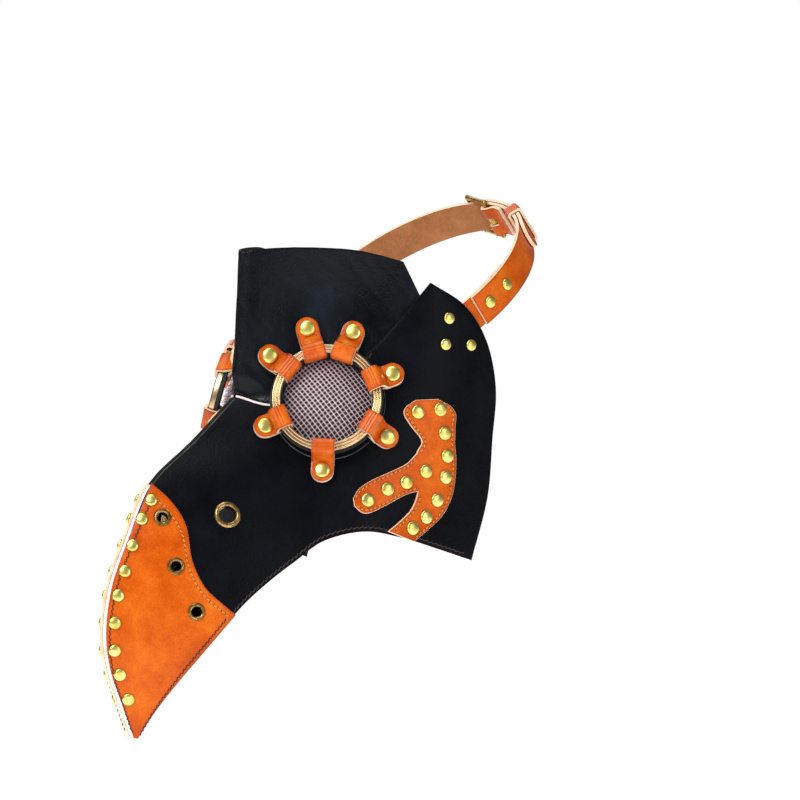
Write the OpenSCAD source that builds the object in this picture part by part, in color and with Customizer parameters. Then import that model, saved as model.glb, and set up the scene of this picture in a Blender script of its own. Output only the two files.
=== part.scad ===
// Plague doctor mask: a long-beaked leather mask with caged eyes and a buckled head strap.
// Origin: top of the nose bridge on the mid-plane. The mask faces -Y, its wearer's left is +X.
// Each side is laid out flat on a pattern plane (u along it, z up) that is turned away from the
// mid-plane, and skin(u, z) bends that flat layout into the mask's surface.

/* [Leather] */
// Thickness of the black side leather
side_t = 2.4; // [1.6:0.1:3]
// Thickness of the brow leather
brow_t = 1.8; // [1.2:0.1:2.4]
// Thickness of the orange trim leather
trim_t = 1.6; // [1:0.1:2]
// Half the width of the beak's ridge, where the two sides are joined edge to edge
ridge_half = 2.4; // [2.3:0.1:3.5]
// Angle between the pattern plane and the mid-plane
turn = 40; // [36:1:44]
// How far the under-beak leather hangs below the side leathers
gusset_drop = 5; // [2:0.5:8]

/* [Eyes] */
// Angle of each eye away from straight ahead
eye_yaw = 48; // [40:1:54]
// Angle of each eye above the horizontal
eye_tilt = 15; // [8:1:20]
// Outer radius of the brass ring
ring_r = 32.7; // [31:0.1:33]
// Inner radius of the brass ring
ring_in_r = 27.3; // [27.2:0.1:28]
// Outer radius of the leather collar under the ring
collar_r = 34; // [33:0.5:36]
// Inner radius of the leather collar
collar_in_r = 28.4; // [28.3:0.1:29]
// Radius of the hole cut through the leather
eye_hole_r = 28.5; // [28.5:0.5:30]
// Width of the leather loops that hold the ring
tab_w = 13.5; // [11:0.5:14]

/* [Brass fittings] */
// Radius of the domed stud caps
stud_r = 4; // [3:0.1:4.4]
// Radius of the stud shanks
shank_r = 1.5; // [1.2:0.1:2]
// Hole radius of the large eyelet
big_eyelet_r = 5; // [4:0.5:6]
// Hole radius of the small eyelets
small_eyelet_r = 2.9; // [2:0.1:3.2]

/* [Head strap] */
// Width of the strap
strap_w = 20; // [16:1:24]
// Thickness of the strap
strap_t = 2; // [1.6:0.1:2.4]
// Slope of the strap's plane, rising towards the back of the head
strap_rise = 38; // [30:1:42]
// Inner radius of the strap's loop
loop_r = 76; // [74:1:80]

/* [Hidden] */

$fn = 48;
gap = 0.25;          // clearance between layers that lie on each other
leather_black = "#15171c";
leather_orange = "#c8622a";
brass = "#b08d4a";
steel = "#9a9296";

// Half-width of the mask's skin: one row each 50 mm of height, from z = 100 down to -200,
// and one column each 40 mm along the pattern plane, from u = -80 to 160.
STATION = 40;
LEVEL = 50;
HALF_WIDTHS = [
    [-46.0, -21.0, 3.5, 26.0, 51.0, 72.0, 77.5],
    [-46.0, -21.0, 4.5, 24.5, 49.5, 73.5, 78.0],
    [-50.0, -23.0, 3.0, 30.5, 57.0, 75.0, 79.5],
    [-16.0, 7.0, 27.0, 43.0, 65.0, 76.0, 79.5],
    [-4.0, 18.0, 38.0, 54.5, 70.0, 76.0, 78.0],
    [-0.5, 20.0, 39.5, 53.5, 65.0, 72.0, 75.0],
    [-8.5, 12.5, 32.0, 47.0, 58.0, 65.0, 68.0]
];

// The ridge line of the beak, from the tip to the nose bridge, then on up the brow
RIDGE = [[-59, -203], [-59.5, -200], [-66, -181], [-73, -160], [-75.5, -138], [-72, -111], [-63, -85],
         [-49, -51], [-24, -26], [0, 0]];
BROW = [[0, 0], [-2, 14], [-3, 30], [-3, 57], [-2, 85], [-1, 110]];
// The side panel's outline: its top edge from beak tip to temple, its lower edge and its rear edge
TOP_BEAK = [[-59.5, -200], [-66, -181], [-73, -160], [-75.5, -138], [-72, -111], [-63, -85],
            [-49, -51], [-24, -26], [0, 0]];
TOP_SEAM = [[0, 0], [24, -5], [52, 7], [84, 31], [116, 67.5]];
LOWER = [[-57, -200.5], [-46, -183.5], [-33, -167], [-20.5, -152.5], [-8.5, -138], [6, -121.5],
         [21, -108], [36, -96.5], [53, -84.6], [77, -79.3], [100, -83.5], [120, -90], [140, -97]];
REAR = [[116, 67.5], [136, 54], [149, 33], [154.5, 5], [152.5, -25], [149.5, -60], [140, -97]];
// The orange patch's rear edge on the beak, from the ridge to the lower edge
PATCH_REAR = [[-49, -51], [-37, -62], [-28.5, -76], [-25, -96], [-18, -111], [-9, -120], [0.5, -128]];
// The brow panel's lower and upper edges, one height each quarter of its length
BROW_LOW = [-7, -11, 0, 22, 58];
BROW_HIGH = [86, 88, 88, 86, 80];
BROW_LEN = [114, 102];
// The wishbone-shaped cheek patch: the long limb's two edges, then its branch's two edges
LIMB_FRONT = [[104, -2], [99.5, -9], [103.5, -17], [110, -26], [107, -33.5], [106, -45], [107.5, -55.8],
              [104, -66], [97, -73.5], [90, -79.3]];
LIMB_REAR = [[122, -1.2], [129.5, -9], [129.5, -18], [129.3, -28], [130, -37], [129.5, -48], [127.5, -59],
             [122, -70], [114, -78], [105, -85.5]];
BRANCH_TOP = [[107, -33.5], [101, -39.5], [92, -44], [80, -49.5], [73, -54.5], [69.8, -60]];
BRANCH_LOW = [[107.5, -55.8], [100, -58], [89, -64], [80, -68.3], [75, -68.3], [70.5, -64.5]];
// The temple tab's flared root: down across the strap, and back along it to the neck
TEMPLE_ROOT = [[-10, 40], [-10, 34], [-14, 25], [-17, 15], [-16, 5], [-10, 0], [8, 0], [15, 3],
               [18, 10], [18, 20], [14, 28], [10, 34], [10, 40]];
// Fittings, each at (u, z)
BEAK_STUDS = [[-49, -61], [-54.5, -72], [-60, -87.5], [-64.5, -102.5], [-68.5, -116.5],
              [-70.5, -132.5], [-70.5, -148.5], [-67.5, -162.5], [-62.5, -177]];
CHEEK_STUDS = [[107.5, -9], [120.5, -7.5], [123, -21.5], [124.5, -35], [123.5, -47.5],
               [112, -44], [100.5, -50.5], [89.5, -54.5], [78, -61], [118.5, -61], [112, -71],
               [104, -77.5]];
SMALL_EYELETS = [[-42.5, -71], [-34.5, -99.5], [-22.5, -126]];
BIG_EYELET = [-4, -69];
TEMPLE_RIVETS = [[126.5, 46.5], [124.5, 31], [139.5, 30.5]];
EYE = [54.8, -3.2];
LOOPS_ON_BROW = [[42.9, 40.4], [70.1, 38.1], [20.4, 24]];
LOOPS_ON_SIDE = [[93.2, 12.3], [89.3, -24], [51.8, -44.2], [17.5, -18.5]];

// ---- curves and the skin ----

function blend4(a, b, c, d, t) =
    0.5 * (2 * b + (c - a) * t + (2 * a - 5 * b + 4 * c - d) * t * t
        + (3 * b - a - 3 * c + d) * t * t * t);

// A value read from a list at a fractional index s, on a smooth curve through its entries
function along(list, s) = let(
        last = len(list) - 1,
        i = min(max(floor(s), 0), last - 1),
        before = i > 0 ? list[i - 1] : 2 * list[0] - list[1],
        after = i < last - 1 ? list[i + 2] : 2 * list[last] - list[last - 1]
    ) blend4(before, list[i], list[i + 1], after, s - i);

// The curve through list, cut into n equal steps
function curve(list, n) = [for (i = [0 : n]) along(list, i * (len(list) - 1) / n)];

// A closed curve through list, with n steps between neighbours
function ring_curve(list, n) = let(m = len(list)) [
    for (i = [0 : m - 1], j = [0 : n - 1])
        blend4(list[(i + m - 1) % m], list[i], list[(i + 1) % m], list[(i + 2) % m], j / n)
];

ridge_line = concat(curve(RIDGE, 36), curve(BROW, 12));
ridge_table = [for (p = ridge_line) [p.y, p.x]];
function ridge_u(z) = lookup(z, ridge_table);
function width_at(u, z) =
    along([for (row = HALF_WIDTHS) along(row, u / STATION + 2)], (100 - z) / LEVEL);
// The skin's half-width, drawn in so that the two sides meet along the ridge
function half_width(u, z) = let(r = ridge_u(z), v = max(u - r, 0))
    width_at(u, z) - (width_at(r, z) - ridge_half) * exp(-v / 22);
function skin(u, z) = let(x = half_width(u, z)) [x, u / cos(turn) - x * tan(turn), z];
function unit(a) = a / norm(a);
function normal(u, z) = unit(cross(skin(u + 2, z) - skin(u - 2, z), skin(u, z + 2) - skin(u, z - 2)));
function lift(p, h) = skin(p.x, p.y) + h * normal(p.x, p.y);

// A closed sheet between two grids of points, the first one outside
module sheet(outer, inner) {
    rows = len(outer);
    cols = len(outer[0]);
    n = rows * cols;
    flat = [for (g = [outer, inner], row = g, p = row) p];
    faces = concat(
        [for (i = [0 : rows - 2], j = [0 : cols - 2]) let(a = i * cols + j) each
            [[a, a + 1, a + cols + 1], [a, a + cols + 1, a + cols]]],
        [for (i = [0 : rows - 2], j = [0 : cols - 2]) let(a = n + i * cols + j) each
            [[a, a + cols + 1, a + 1], [a, a + cols, a + cols + 1]]],
        [for (j = [0 : cols - 2]) let(a = j, b = (rows - 1) * cols + j) each
            [[a + 1, a, n + a], [a + 1, n + a, n + a + 1], [b, b + 1, n + b + 1], [b, n + b + 1, n + b]]],
        [for (i = [0 : rows - 2]) let(a = i * cols, b = i * cols + cols - 1) each
            [[a, a + cols, n + a + cols], [a, n + a + cols, n + a],
             [b + cols, b, n + b], [b + cols, n + b, n + b + cols]]]
    );
    polyhedron(flat, faces, convexity = 8);
}

// A piece of leather on the skin: a grid of (u, z) points between two lifts
module leather(grid, low, high) {
    sheet([for (row = grid) [for (p = row) lift(p, high)]], [for (row = grid) [for (p = row) lift(p, low)]]);
}

// A grid between a top and a lower curve, whose far end is bent to the rear curve
function panel_grid(top, low, rear, power) = let(n = len(top) - 1, m = len(rear) - 1) [
    for (i = [0 : n]) [
        for (j = [0 : m]) let(
                t = j / m,
                straight = top[i] * (1 - t) + low[i] * t,
                end = top[n] * (1 - t) + low[n] * t
            ) straight + (rear[j] - end) * pow(i / n, power)
    ]
];

// Places children on the skin at p, with z along the skin's normal
module on_skin(p, h = 0) {
    n = normal(p.x, p.y);
    translate(lift(p, h)) rotate([0, acos(n.z), atan2(n.y, n.x)]) children();
}

module both_holes(points, r) {
    for (p = points) on_skin(p) translate([0, 0, -12]) cylinder(r = r, h = 24);
}

// ---- eye frame: x outwards and back, y up, z along the eye's axis ----

eye_axis = [sin(eye_yaw) * cos(eye_tilt), -cos(eye_yaw) * cos(eye_tilt), sin(eye_tilt)];
eye_side = [cos(eye_yaw), sin(eye_yaw), 0];
eye_up = cross(eye_axis, eye_side);
eye_at = skin(EYE.x, EYE.y);
function in_eye(p) = let(q = p - eye_at) [q * eye_side, q * eye_up, q * eye_axis];

module eye_frame() {
    multmatrix([
        [eye_side.x, eye_up.x, eye_axis.x, eye_at.x],
        [eye_side.y, eye_up.y, eye_axis.y, eye_at.y],
        [eye_side.z, eye_up.z, eye_axis.z, eye_at.z]
    ]) children();
}

brow_drop = side_t + 0.8;
loop_feet = concat(
    [for (p = LOOPS_ON_BROW) in_eye(lift(p, -brow_drop))], [for (p = LOOPS_ON_SIDE) in_eye(lift(p, 0))]);
// How steeply the leather climbs at each foot: outwards from the eye, and across the loop
loop_slopes = [for (i = [0 : 6]) let(
        p = concat(LOOPS_ON_BROW, LOOPS_ON_SIDE)[i],
        n = normal(p.x, p.y),
        e = [n * eye_side, n * eye_up, n * eye_axis],
        r = unit([loop_feet[i].x, loop_feet[i].y])
    ) [-(e.x * r.x + e.y * r.y) / e.z, (e.x * r.y - e.y * r.x) / e.z]];
// How far a loop's foot stands off the leather, so that its corners clear a sideways slope
function foot_rise(i) = 0.25 + 0.45 * tab_w * abs(loop_slopes[i].y);

// Places children at a loop's foot, with x outwards from the eye along the leather and z off it
module at_foot(i) {
    f = loop_feet[i];
    tilt = atan(loop_slopes[i].x);
    rotate([0, 0, atan2(f.y, f.x)]) translate([norm([f.x, f.y]), 0, f.z]) rotate([0, -tilt, 0]) children();
}
loop_t = 1.6;
washer_low = 6.3;
ring_low = 8.8;
ring_h = 3.5;
ring_top = ring_low + ring_h;

// ---- leather ----

panel_steps = 24;
lower_line = curve(LOWER, panel_steps);
top_line = concat(curve(TOP_BEAK, 16), [for (i = [1 : 8]) along(TOP_SEAM, i / 2)]);
rear_line = curve(REAR, 9);
side_grid = panel_grid(top_line, lower_line, rear_line, 3);

module side_panel() {
    color(leather_black) difference() {
        leather(side_grid, -side_t, 0);
        eye_frame() translate([0, 0, -30]) cylinder(r = eye_hole_r, h = 60);
        both_holes(BEAK_STUDS, shank_r + 0.1);
        both_holes(CHEEK_STUDS, shank_r + 0.1);
        both_holes(TEMPLE_RIVETS, shank_r + 0.1);
        both_holes(SMALL_EYELETS, small_eyelet_r + 0.95);
        both_holes([BIG_EYELET], big_eyelet_r + 1.15);
        loop_holes([3 : 6]);
    }
}

module loop_holes(feet) {
    eye_frame() for (i = feet) at_foot(i) translate([0, 0, -14]) cylinder(r = shank_r + 0.1, h = 28);
}

// The brow's point at fraction f of its half-length and g of its height
function brow_point(f, g, h) = let(
        z = along(BROW_LOW, 4 * f) * (1 - g) + along(BROW_HIGH, 4 * f) * g,
        v = f * (BROW_LEN[0] * (1 - g) + BROW_LEN[1] * g),
        q = lift([ridge_u(z) + v, z], h - brow_drop - 0.8 * pow(f, 4)),
        blunt = 4.5 * exp(-pow(v / 9, 2)) * min(max(z / 30, 0), 1),
        forward = 3.5 * exp(-pow(v / 22, 2)) * min(max(1 - z / 60, 0), 1) * min(max((z - 3) / 9, 0), 1),
        under_nose = 4 * exp(-pow(v / 16, 2)) * min(max((5 - z) / 4, 0), 1)
    ) [f == 0 ? 0 : q.x, q.y + blunt - forward + under_nose, q.z];

module brow_panel() {
    steps = 16;
    half = function(h) [for (i = [0 : steps]) [for (j = [0 : 8]) brow_point(i / steps, j / 8, h)]];
    whole = function(h) let(g = half(h)) concat(
        [for (i = [steps : -1 : 1]) [for (p = g[i]) [-p.x, p.y, p.z]]], g);
    color(leather_black) difference() {
        sheet([for (row = whole(0)) [for (j = [8 : -1 : 0]) row[j]]],
              [for (row = whole(-brow_t)) [for (j = [8 : -1 : 0]) row[j]]]);
        for (s = [0, 1]) mirror([s, 0, 0]) {
            eye_frame() translate([0, 0, -30]) cylinder(r = eye_hole_r, h = 60);
            loop_holes([0 : 2]);
        }
    }
}

// The under-beak leather: an arched strip between the two lower edges
module beak_gusset() {
    steps = 14;
    tuck = 4;
    line = [for (i = [0 : steps]) along(LOWER, 0.9 + i * 6.9 / steps)];
    strip = function(h) [for (p = line) let(e = lift([p.x, p.y + tuck + h], -side_t - 0.7)) [for (j = [0 : 8])
        let(s = 1 - j / 4) [e.x * s, e.y, e.z - (gusset_drop + tuck) * (1 - pow(s, 4)) * min(1, e.x / 12)]]];
    color(leather_black) sheet(strip(0), strip(1.8));
}

module beak_patch() {
    top = curve([for (i = [0 : 6]) TOP_BEAK[i]], 12);
    low = curve([for (i = [0 : 4]) LOWER[i]], 12);
    ends = concat([for (i = [0 : 11]) low[i]], [PATCH_REAR[6]]);
    grid = panel_grid(top, ends, curve(PATCH_REAR, 9), 2);
    color(leather_orange) difference() {
        leather(grid, gap, gap + trim_t);
        both_holes(BEAK_STUDS, shank_r + 0.1);
        both_holes(SMALL_EYELETS, small_eyelet_r + 0.95);
    }
}

module cheek_patch() {
    front = curve(LIMB_FRONT, 18);
    rear = curve(LIMB_REAR, 18);
    limb = [for (i = [0 : 18]) [for (j = [0 : 3]) front[i] + (rear[i] - front[i]) * j / 3]];
    join = [for (i = [8 : 12]) front[i]];
    top = curve(BRANCH_TOP, 10);
    low = curve(BRANCH_LOW, 10);
    branch = concat([[for (j = [4 : -1 : 0]) join[j]]],
        [for (i = [1 : 10]) [for (j = [4 : -1 : 0]) top[i] + (low[i] - top[i]) * j / 4]]);
    color(leather_orange) difference() {
        union() {
            leather([for (row = limb) [for (j = [3 : -1 : 0]) row[j]]], gap, gap + trim_t);
            leather(branch, gap, gap + trim_t);
        }
        both_holes(CHEEK_STUDS, shank_r + 0.1);
    }
}

module eye_collar() {
    steps = 36;
    turns = [for (i = [0 : steps]) i * 360 / steps];
    low = function(a, r) let(p = EYE + r * [cos(a), sin(a)]) lift(p, gap);
    high = function(a, r) let(p = EYE + r * [cos(a), sin(a)]) lift(p, gap + trim_t);
    color(leather_black) for (half = [0, 1]) {
        part = [for (i = [half * steps / 2 : (half + 1) * steps / 2]) turns[i]];
        sheet([for (a = part) [for (r = [collar_r, (collar_r + collar_in_r) / 2, collar_in_r]) high(a, r)]],
              [for (a = part) [for (r = [collar_r, (collar_r + collar_in_r) / 2, collar_in_r]) low(a, r)]]);
    }
}

// ---- eye hardware ----

module tube(r_out, r_in, low, h) {
    rotate_extrude() translate([r_in, low]) square([r_out - r_in, h]);
}

module eye_washer() {
    color("#101012") eye_frame() tube(ring_r + 0.7, ring_in_r - 0.4, washer_low, ring_low - washer_low - 0.1);
}

module eye_ring() {
    w = ring_r - ring_in_r;
    color(brass) eye_frame() rotate_extrude() translate([ring_in_r, ring_low]) polygon([
        [0, 0], [w, 0], [w, 2.4], [0.86 * w, ring_h], [0.74 * w, ring_h], [0.66 * w, 2.7],
        [0.58 * w, ring_h], [0.42 * w, ring_h], [0.34 * w, 2.7], [0.26 * w, ring_h], [0.12 * w, ring_h], [0, 2.6]
    ]);
}

dome_r = 26.1;
dome_h = 8;
// A shallow dome of the given thickness, its rim at height low
module dome(low, t) {
    big = (dome_r * dome_r + dome_h * dome_h) / (2 * dome_h);
    arc = [for (i = [0 : 8]) let(r = dome_r * i / 8) [r, low + sqrt(big * big - r * r) - big + dome_h]];
    rotate_extrude() polygon(concat(arc, [for (i = [8 : -1 : 0]) arc[i] - [0, t]]));
}

module eye_mesh() { color(steel) eye_frame() dome(0.9, 0.8); }
module eye_lens() { color("#3a1418") eye_frame() dome(-1.3, 1.5); }
module eye_retainer() {
    color("#17171a") eye_frame() {
        tube(eye_hole_r - 0.3, dome_r + 0.2, -9, 9.2);
        tube(eye_hole_r + 4, dome_r + 0.2, -11, 2);
    }
}

// A strip of leather seen from its edge: a path with the leather's half-thickness on each side
function strip_outline(path, half) = let(
        n = len(path) - 1,
        steps = [for (i = [1 : n]) unit(path[i] - path[i - 1])],
        sides = [for (i = [0 : n]) let(before = steps[max(i - 1, 0)], d = unit(before + steps[min(i, n - 1)]))
            [-d.y, d.x] * half / (d * before)]
    ) concat([for (i = [0 : n]) path[i] + sides[i]], [for (i = [n : -1 : 0]) path[i] - sides[i]]);

// A loop of leather over the ring and back under it, with both ends on one rivet. Its path is drawn
// in (distance from the eye's axis, height)
module eye_loop(i) {
    f = loop_feet[i];
    tilt = atan(loop_slopes[i].x);
    reach = norm([f.x, f.y]) - foot_rise(i) * sin(tilt);
    base = f.z + foot_rise(i) * cos(tilt);
    foot = function(s, h) [reach + s * cos(tilt) - h * sin(tilt), base + s * sin(tilt) + h * cos(tilt)];
    over = ring_top + 1;
    under = washer_low - 1.1;
    upper = [foot(tab_w / 2 + 0.3, 2.9), foot(-5.5, 2.9), [ring_r + 1.6, ring_top - 2.4], [ring_r + 1, over - 0.6],
        [ring_r - 0.6, over], [ring_in_r + 0.4, over], [ring_in_r - 1.7, over - 0.7], [ring_in_r - 2.3, over - 2.2],
        [ring_in_r - 2.3, under + 2], [ring_in_r - 1.8, under + 0.5], [ring_in_r, under], [ring_in_r + 2, under]];
    lower = [[ring_in_r + 1, under], [ring_r + 0.3, under], foot(-5.4, 1.15), foot(tab_w / 2 + 0.3, 1.15)];
    rotate([0, 0, atan2(f.y, f.x)]) difference() {
        rotate([90, 0, 0]) translate([0, 0, -tab_w / 2]) linear_extrude(tab_w) {
            polygon(strip_outline(upper, loop_t / 2));
            polygon(strip_outline(lower, loop_t / 2));
        }
        translate([reach, 0, base]) rotate([0, -tilt, 0]) translate([0, 0, -4.3]) {
            rotate([0, 0, 90]) cylinder(r = shank_r + 0.1, h = 12);
            difference() {
                translate([0.5, -tab_w, 0]) cube([tab_w, 2 * tab_w, 12]);
                rotate([0, 0, 90]) cylinder(r = tab_w / 2 + 0.2, h = 12);
            }
        }
    }
}

module eye_loops() { color(leather_orange) eye_frame() for (i = [0 : 6]) eye_loop(i); }

// ---- brass fittings ----

// A double-cap rivet: a domed cap on top, a shank of the given length and a flat cap inside
module rivet(grip, inner = 3) {
    r = stud_r;
    rotate_extrude() polygon([[0, -grip - 0.8], [inner, -grip - 0.8], [inner, -grip], [shank_r, -grip],
        [shank_r, 0], [r, 0], [0.97 * r, 0.5], [0.8 * r, 1.2], [0.5 * r, 1.7], [0.25 * r, 1.95], [0, 2]]);
}

module eyelet(hole, flange, grip) {
    wall = 0.65 + 0.1 * hole;
    out = hole + wall;
    rotate_extrude() polygon([[hole, -grip - 0.9], [out + 1.5, -grip - 0.9], [out + 1.5, -grip], [out - 0.1, -grip],
        [out - 0.1, 0], [flange, 0], [flange - 0.2, 0.5], [(flange + hole) / 2, 1.2], [hole + 0.4, 1], [hole, 0.5]]);
}

module beak_studs() {
    top = gap + trim_t + 0.15;
    color(brass) for (p = BEAK_STUDS) on_skin(p, top) rivet(top + side_t + 0.5, 2.2);
}

module cheek_studs() {
    top = gap + trim_t + 0.15;
    color(brass) for (p = CHEEK_STUDS) on_skin(p, top) rivet(top + side_t + 0.9);
}

module small_eyelets() {
    top = gap + trim_t + 0.15;
    color(brass) for (p = SMALL_EYELETS) on_skin(p, top) eyelet(small_eyelet_r, 5.2, top + side_t + 0.8);
}

module large_eyelet() {
    color(brass) on_skin(BIG_EYELET, 0.2) eyelet(big_eyelet_r, 8, side_t + 0.8);
}

module loop_rivets() {
    color(brass) eye_frame() for (i = [0 : 6]) at_foot(i) translate([0, 0, foot_rise(i) + 3.85]) rivet(8.3);
}

// ---- head strap ----

loop_centre = [0, 136, 59.4];
tab_in_r = loop_r - gap - brow_t;
// The strap's frame: the loop's centre, with y towards the back of the head and z across the strap
module strap_frame() { translate(loop_centre) rotate([strap_rise, 0, 0]) children(); }

// A band on the loop, from angle a to angle b, where 0 is the left side and 90 the back
module band(r, t, a, b, w = strap_w) {
    rotate([0, 0, a]) rotate_extrude(angle = b - a) translate([r, -w / 2]) square([t, w]);
}

// Places children on the loop at angle a and radius r, with z along the loop's outward normal
module on_loop(a, r) { rotate([0, 0, a]) translate([r, 0, 0]) rotate([0, 90, 0]) children(); }

strap_end = -10.5;
tab_end = 14;
temple_root = 40;
strap_rivet_at = [-4, 8.5];
// The buckle: its bars' radius, and where its heel bar and front bar lie on the loop
bar_r = 1.5;
heel_at = 84;
front_at = 99;
strap_mid = loop_r + strap_t / 2;
heel_r = strap_mid - strap_t / 2 - 0.3 - bar_r;
front_r = loop_r + strap_t + 0.4 + bar_r;
tongue_mid = strap_mid + strap_t + 0.6;
buckle_half = strap_w / 2 + 0.8 + bar_r;
// The stretch of the loop, in degrees, where the tongue climbs on to the other strap
climb_from = 97;
climb_to = 90;
tongue_tip = 44;
keeper_at = [58, 65.5];

module temple_tab() {
    color(leather_orange) difference() {
        strap_frame() {
            band(tab_in_r, brow_t, strap_end, tab_end);
            rotate([0, 0, strap_end]) translate([tab_in_r, -temple_root, 0])
                rotate([0, 90, 0]) linear_extrude(brow_t) polygon(TEMPLE_ROOT);
        }
        both_holes(TEMPLE_RIVETS, shank_r + 0.1);
        strap_frame() strap_holes(strap_rivet_at, shank_r + 0.1);
    }
}

// The temple tab's root lies on a plane through tab_at. Each rivet reaches through the side leather
// to its inner face.
tab_normal = [cos(strap_end), sin(strap_end) * cos(strap_rise), sin(strap_end) * sin(strap_rise)];
tab_at = loop_centre + tab_in_r * tab_normal;
function temple_grip(p) = let(lean = normal(p.x, p.y) * tab_normal)
    0.35 - (tab_at - skin(p.x, p.y)) * tab_normal / lean + 3 * tan(acos(lean));

module temple_rivets() {
    color(brass) for (p = TEMPLE_RIVETS) on_skin(p, 0.15) rivet(temple_grip(p));
}

module strap_rivets() {
    grip = strap_t + brow_t + 0.8;
    color(brass) strap_frame() for (a = strap_rivet_at) on_loop(a, loop_r + strap_t + 0.12) rivet(grip);
}

module strap_holes(angles, r) {
    for (a = angles) on_loop(a, loop_r - 8) cylinder(r = r, h = 20);
}

function polar(r, a) = r * [cos(a), sin(a)];
// A point near the buckle: s along the loop from the heel bar, h outwards from it
function at_heel(s, h) = (heel_r + h) * [cos(heel_at), sin(heel_at)] + s * [-sin(heel_at), cos(heel_at)];

module strap_strip(path) { linear_extrude(strap_w, center = true) polygon(strip_outline(path, strap_t / 2)); }

// The buckle-end strap: it runs round the head, folds round the heel bar and is sewn to itself
module strap_left() {
    fold = bar_r + 0.3 + strap_t / 2;
    run = [for (a = [strap_end : 3.5 : heel_at - 3]) polar(strap_mid, a)];
    turn_back = [for (a = [90 : -22.5 : -90]) at_heel(fold * cos(a), fold * sin(a))];
    tail = [at_heel(-3.5, -2), at_heel(-7, 0), at_heel(-11, -0.4), at_heel(-15, -1.1)];
    color(leather_orange) strap_frame() difference() {
        strap_strip(concat(run, turn_back, tail));
        strap_holes(strap_rivet_at, shank_r + 0.1);
        rotate([0, 0, heel_at]) translate([heel_r - 6, -5.5, -2.6]) cube([12, 11, 5.2]);
    }
}

// The tongue-end strap: it passes under the front bar, over the heel bar and through the keeper
module strap_right() {
    ends = 180 - strap_end;
    run = [for (a = [ends : -3.5 : climb_from + 2]) polar(strap_mid, a)];
    climb = [for (i = [0 : 6]) let(t = i / 6) polar(strap_mid + (tongue_mid - strap_mid) * t * t * (3 - 2 * t),
        climb_from + (climb_to - climb_from) * t)];
    lap = [for (a = [climb_to - 3 : -3.5 : tongue_tip]) polar(tongue_mid, a)];
    color(leather_orange) strap_frame() difference() {
        strap_strip(concat(run, climb, lap));
        mirror([1, 0, 0]) strap_holes(strap_rivet_at, shank_r + 0.1);
        strap_holes([for (i = [1 : 2]) heel_at - 11 * i + 2], 1.6);
        rotate([0, 0, heel_at]) translate([heel_r, -3.8, -1.9]) cube([14, 10, 3.8]);
        for (s = [0, 1]) mirror([0, 0, s]) rotate([0, 0, tongue_tip]) translate([loop_r, -4, 4])
            rotate([-52, 0, 0]) cube([12, 12, 12]);
    }
}

module rod(a, b, z_a, z_b) {
    d = [b.x - a.x, b.y - a.y, z_b - z_a];
    long = norm(d);
    translate([a.x, a.y, z_a]) rotate([0, acos(d.z / long), atan2(d.y, d.x)]) cylinder(r = bar_r, h = long);
}

module buckle_frame() {
    heel = polar(heel_r, heel_at);
    front = polar(front_r, front_at);
    z = buckle_half;
    color(brass) strap_frame() {
        rod(heel, heel, -z, z);
        rod(front, front, -z, z);
        for (s = [-z, z]) {
            rod(heel, front, s, s);
            for (p = [heel, front]) translate([p.x, p.y, s]) sphere(r = bar_r + 0.15);
        }
    }
}

module buckle_prong() {
    path = [[1.9, 0.6], [3, 3], [3.5, 6], [5.2, 7.7], [9, 8], [15, 7.1], [20.7, 5.9], [23.2, 5.2]];
    color(brass) strap_frame() difference() {
        union() {
            translate(polar(heel_r, heel_at)) cylinder(r = bar_r + 1.4, h = 4.2, center = true);
            linear_extrude(2.8, center = true) polygon(strip_outline([for (p = path) at_heel(p.x, p.y)], 1.1));
        }
        translate(polar(heel_r, heel_at)) cylinder(r = bar_r + 0.08, h = 6, center = true);
    }
}

// A leather loop round both straps
module strap_keeper() {
    half = strap_w / 2 + 0.5;
    wall = 1.6;
    low = loop_r - 0.6;
    high = tongue_mid + strap_t / 2 + 0.6;
    color(leather_orange) strap_frame() rotate([0, 0, keeper_at[0]])
        rotate_extrude(angle = keeper_at[1] - keeper_at[0]) difference() {
            translate([low - wall, -half - wall]) square([high - low + 2 * wall, 2 * (half + wall)]);
            translate([low, -half]) square([high - low, 2 * half]);
        }
}

// A left node as drawn, or its mirror image on the right
module mirrored() { mirror([1, 0, 0]) children(); }

side_panel();  // side_panel_left
mirrored() side_panel();  // side_panel_right
brow_panel();
beak_gusset();
beak_patch();  // beak_patch_left
mirrored() beak_patch();  // beak_patch_right
beak_studs();  // beak_studs_left
mirrored() beak_studs();  // beak_studs_right
small_eyelets();  // small_eyelets_left
mirrored() small_eyelets();  // small_eyelets_right
large_eyelet();  // large_eyelet_left
mirrored() large_eyelet();  // large_eyelet_right
cheek_patch();  // cheek_patch_left
mirrored() cheek_patch();  // cheek_patch_right
cheek_studs();  // cheek_studs_left
mirrored() cheek_studs();  // cheek_studs_right
eye_collar();  // eye_collar_left
mirrored() eye_collar();  // eye_collar_right
eye_washer();  // eye_washer_left
mirrored() eye_washer();  // eye_washer_right
eye_ring();  // eye_ring_left
mirrored() eye_ring();  // eye_ring_right
eye_mesh();  // eye_mesh_left
mirrored() eye_mesh();  // eye_mesh_right
eye_lens();  // eye_lens_left
mirrored() eye_lens();  // eye_lens_right
eye_retainer();  // eye_retainer_left
mirrored() eye_retainer();  // eye_retainer_right
eye_loops();  // eye_loops_left
mirrored() eye_loops();  // eye_loops_right
loop_rivets();  // loop_rivets_left
mirrored() loop_rivets();  // loop_rivets_right
temple_tab();  // temple_tab_left
mirrored() temple_tab();  // temple_tab_right
temple_rivets();  // temple_rivets_left
mirrored() temple_rivets();  // temple_rivets_right
strap_left();
strap_right();
strap_rivets();  // strap_rivets_left
mirrored() strap_rivets();  // strap_rivets_right
buckle_frame();
buckle_prong();
strap_keeper();
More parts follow.
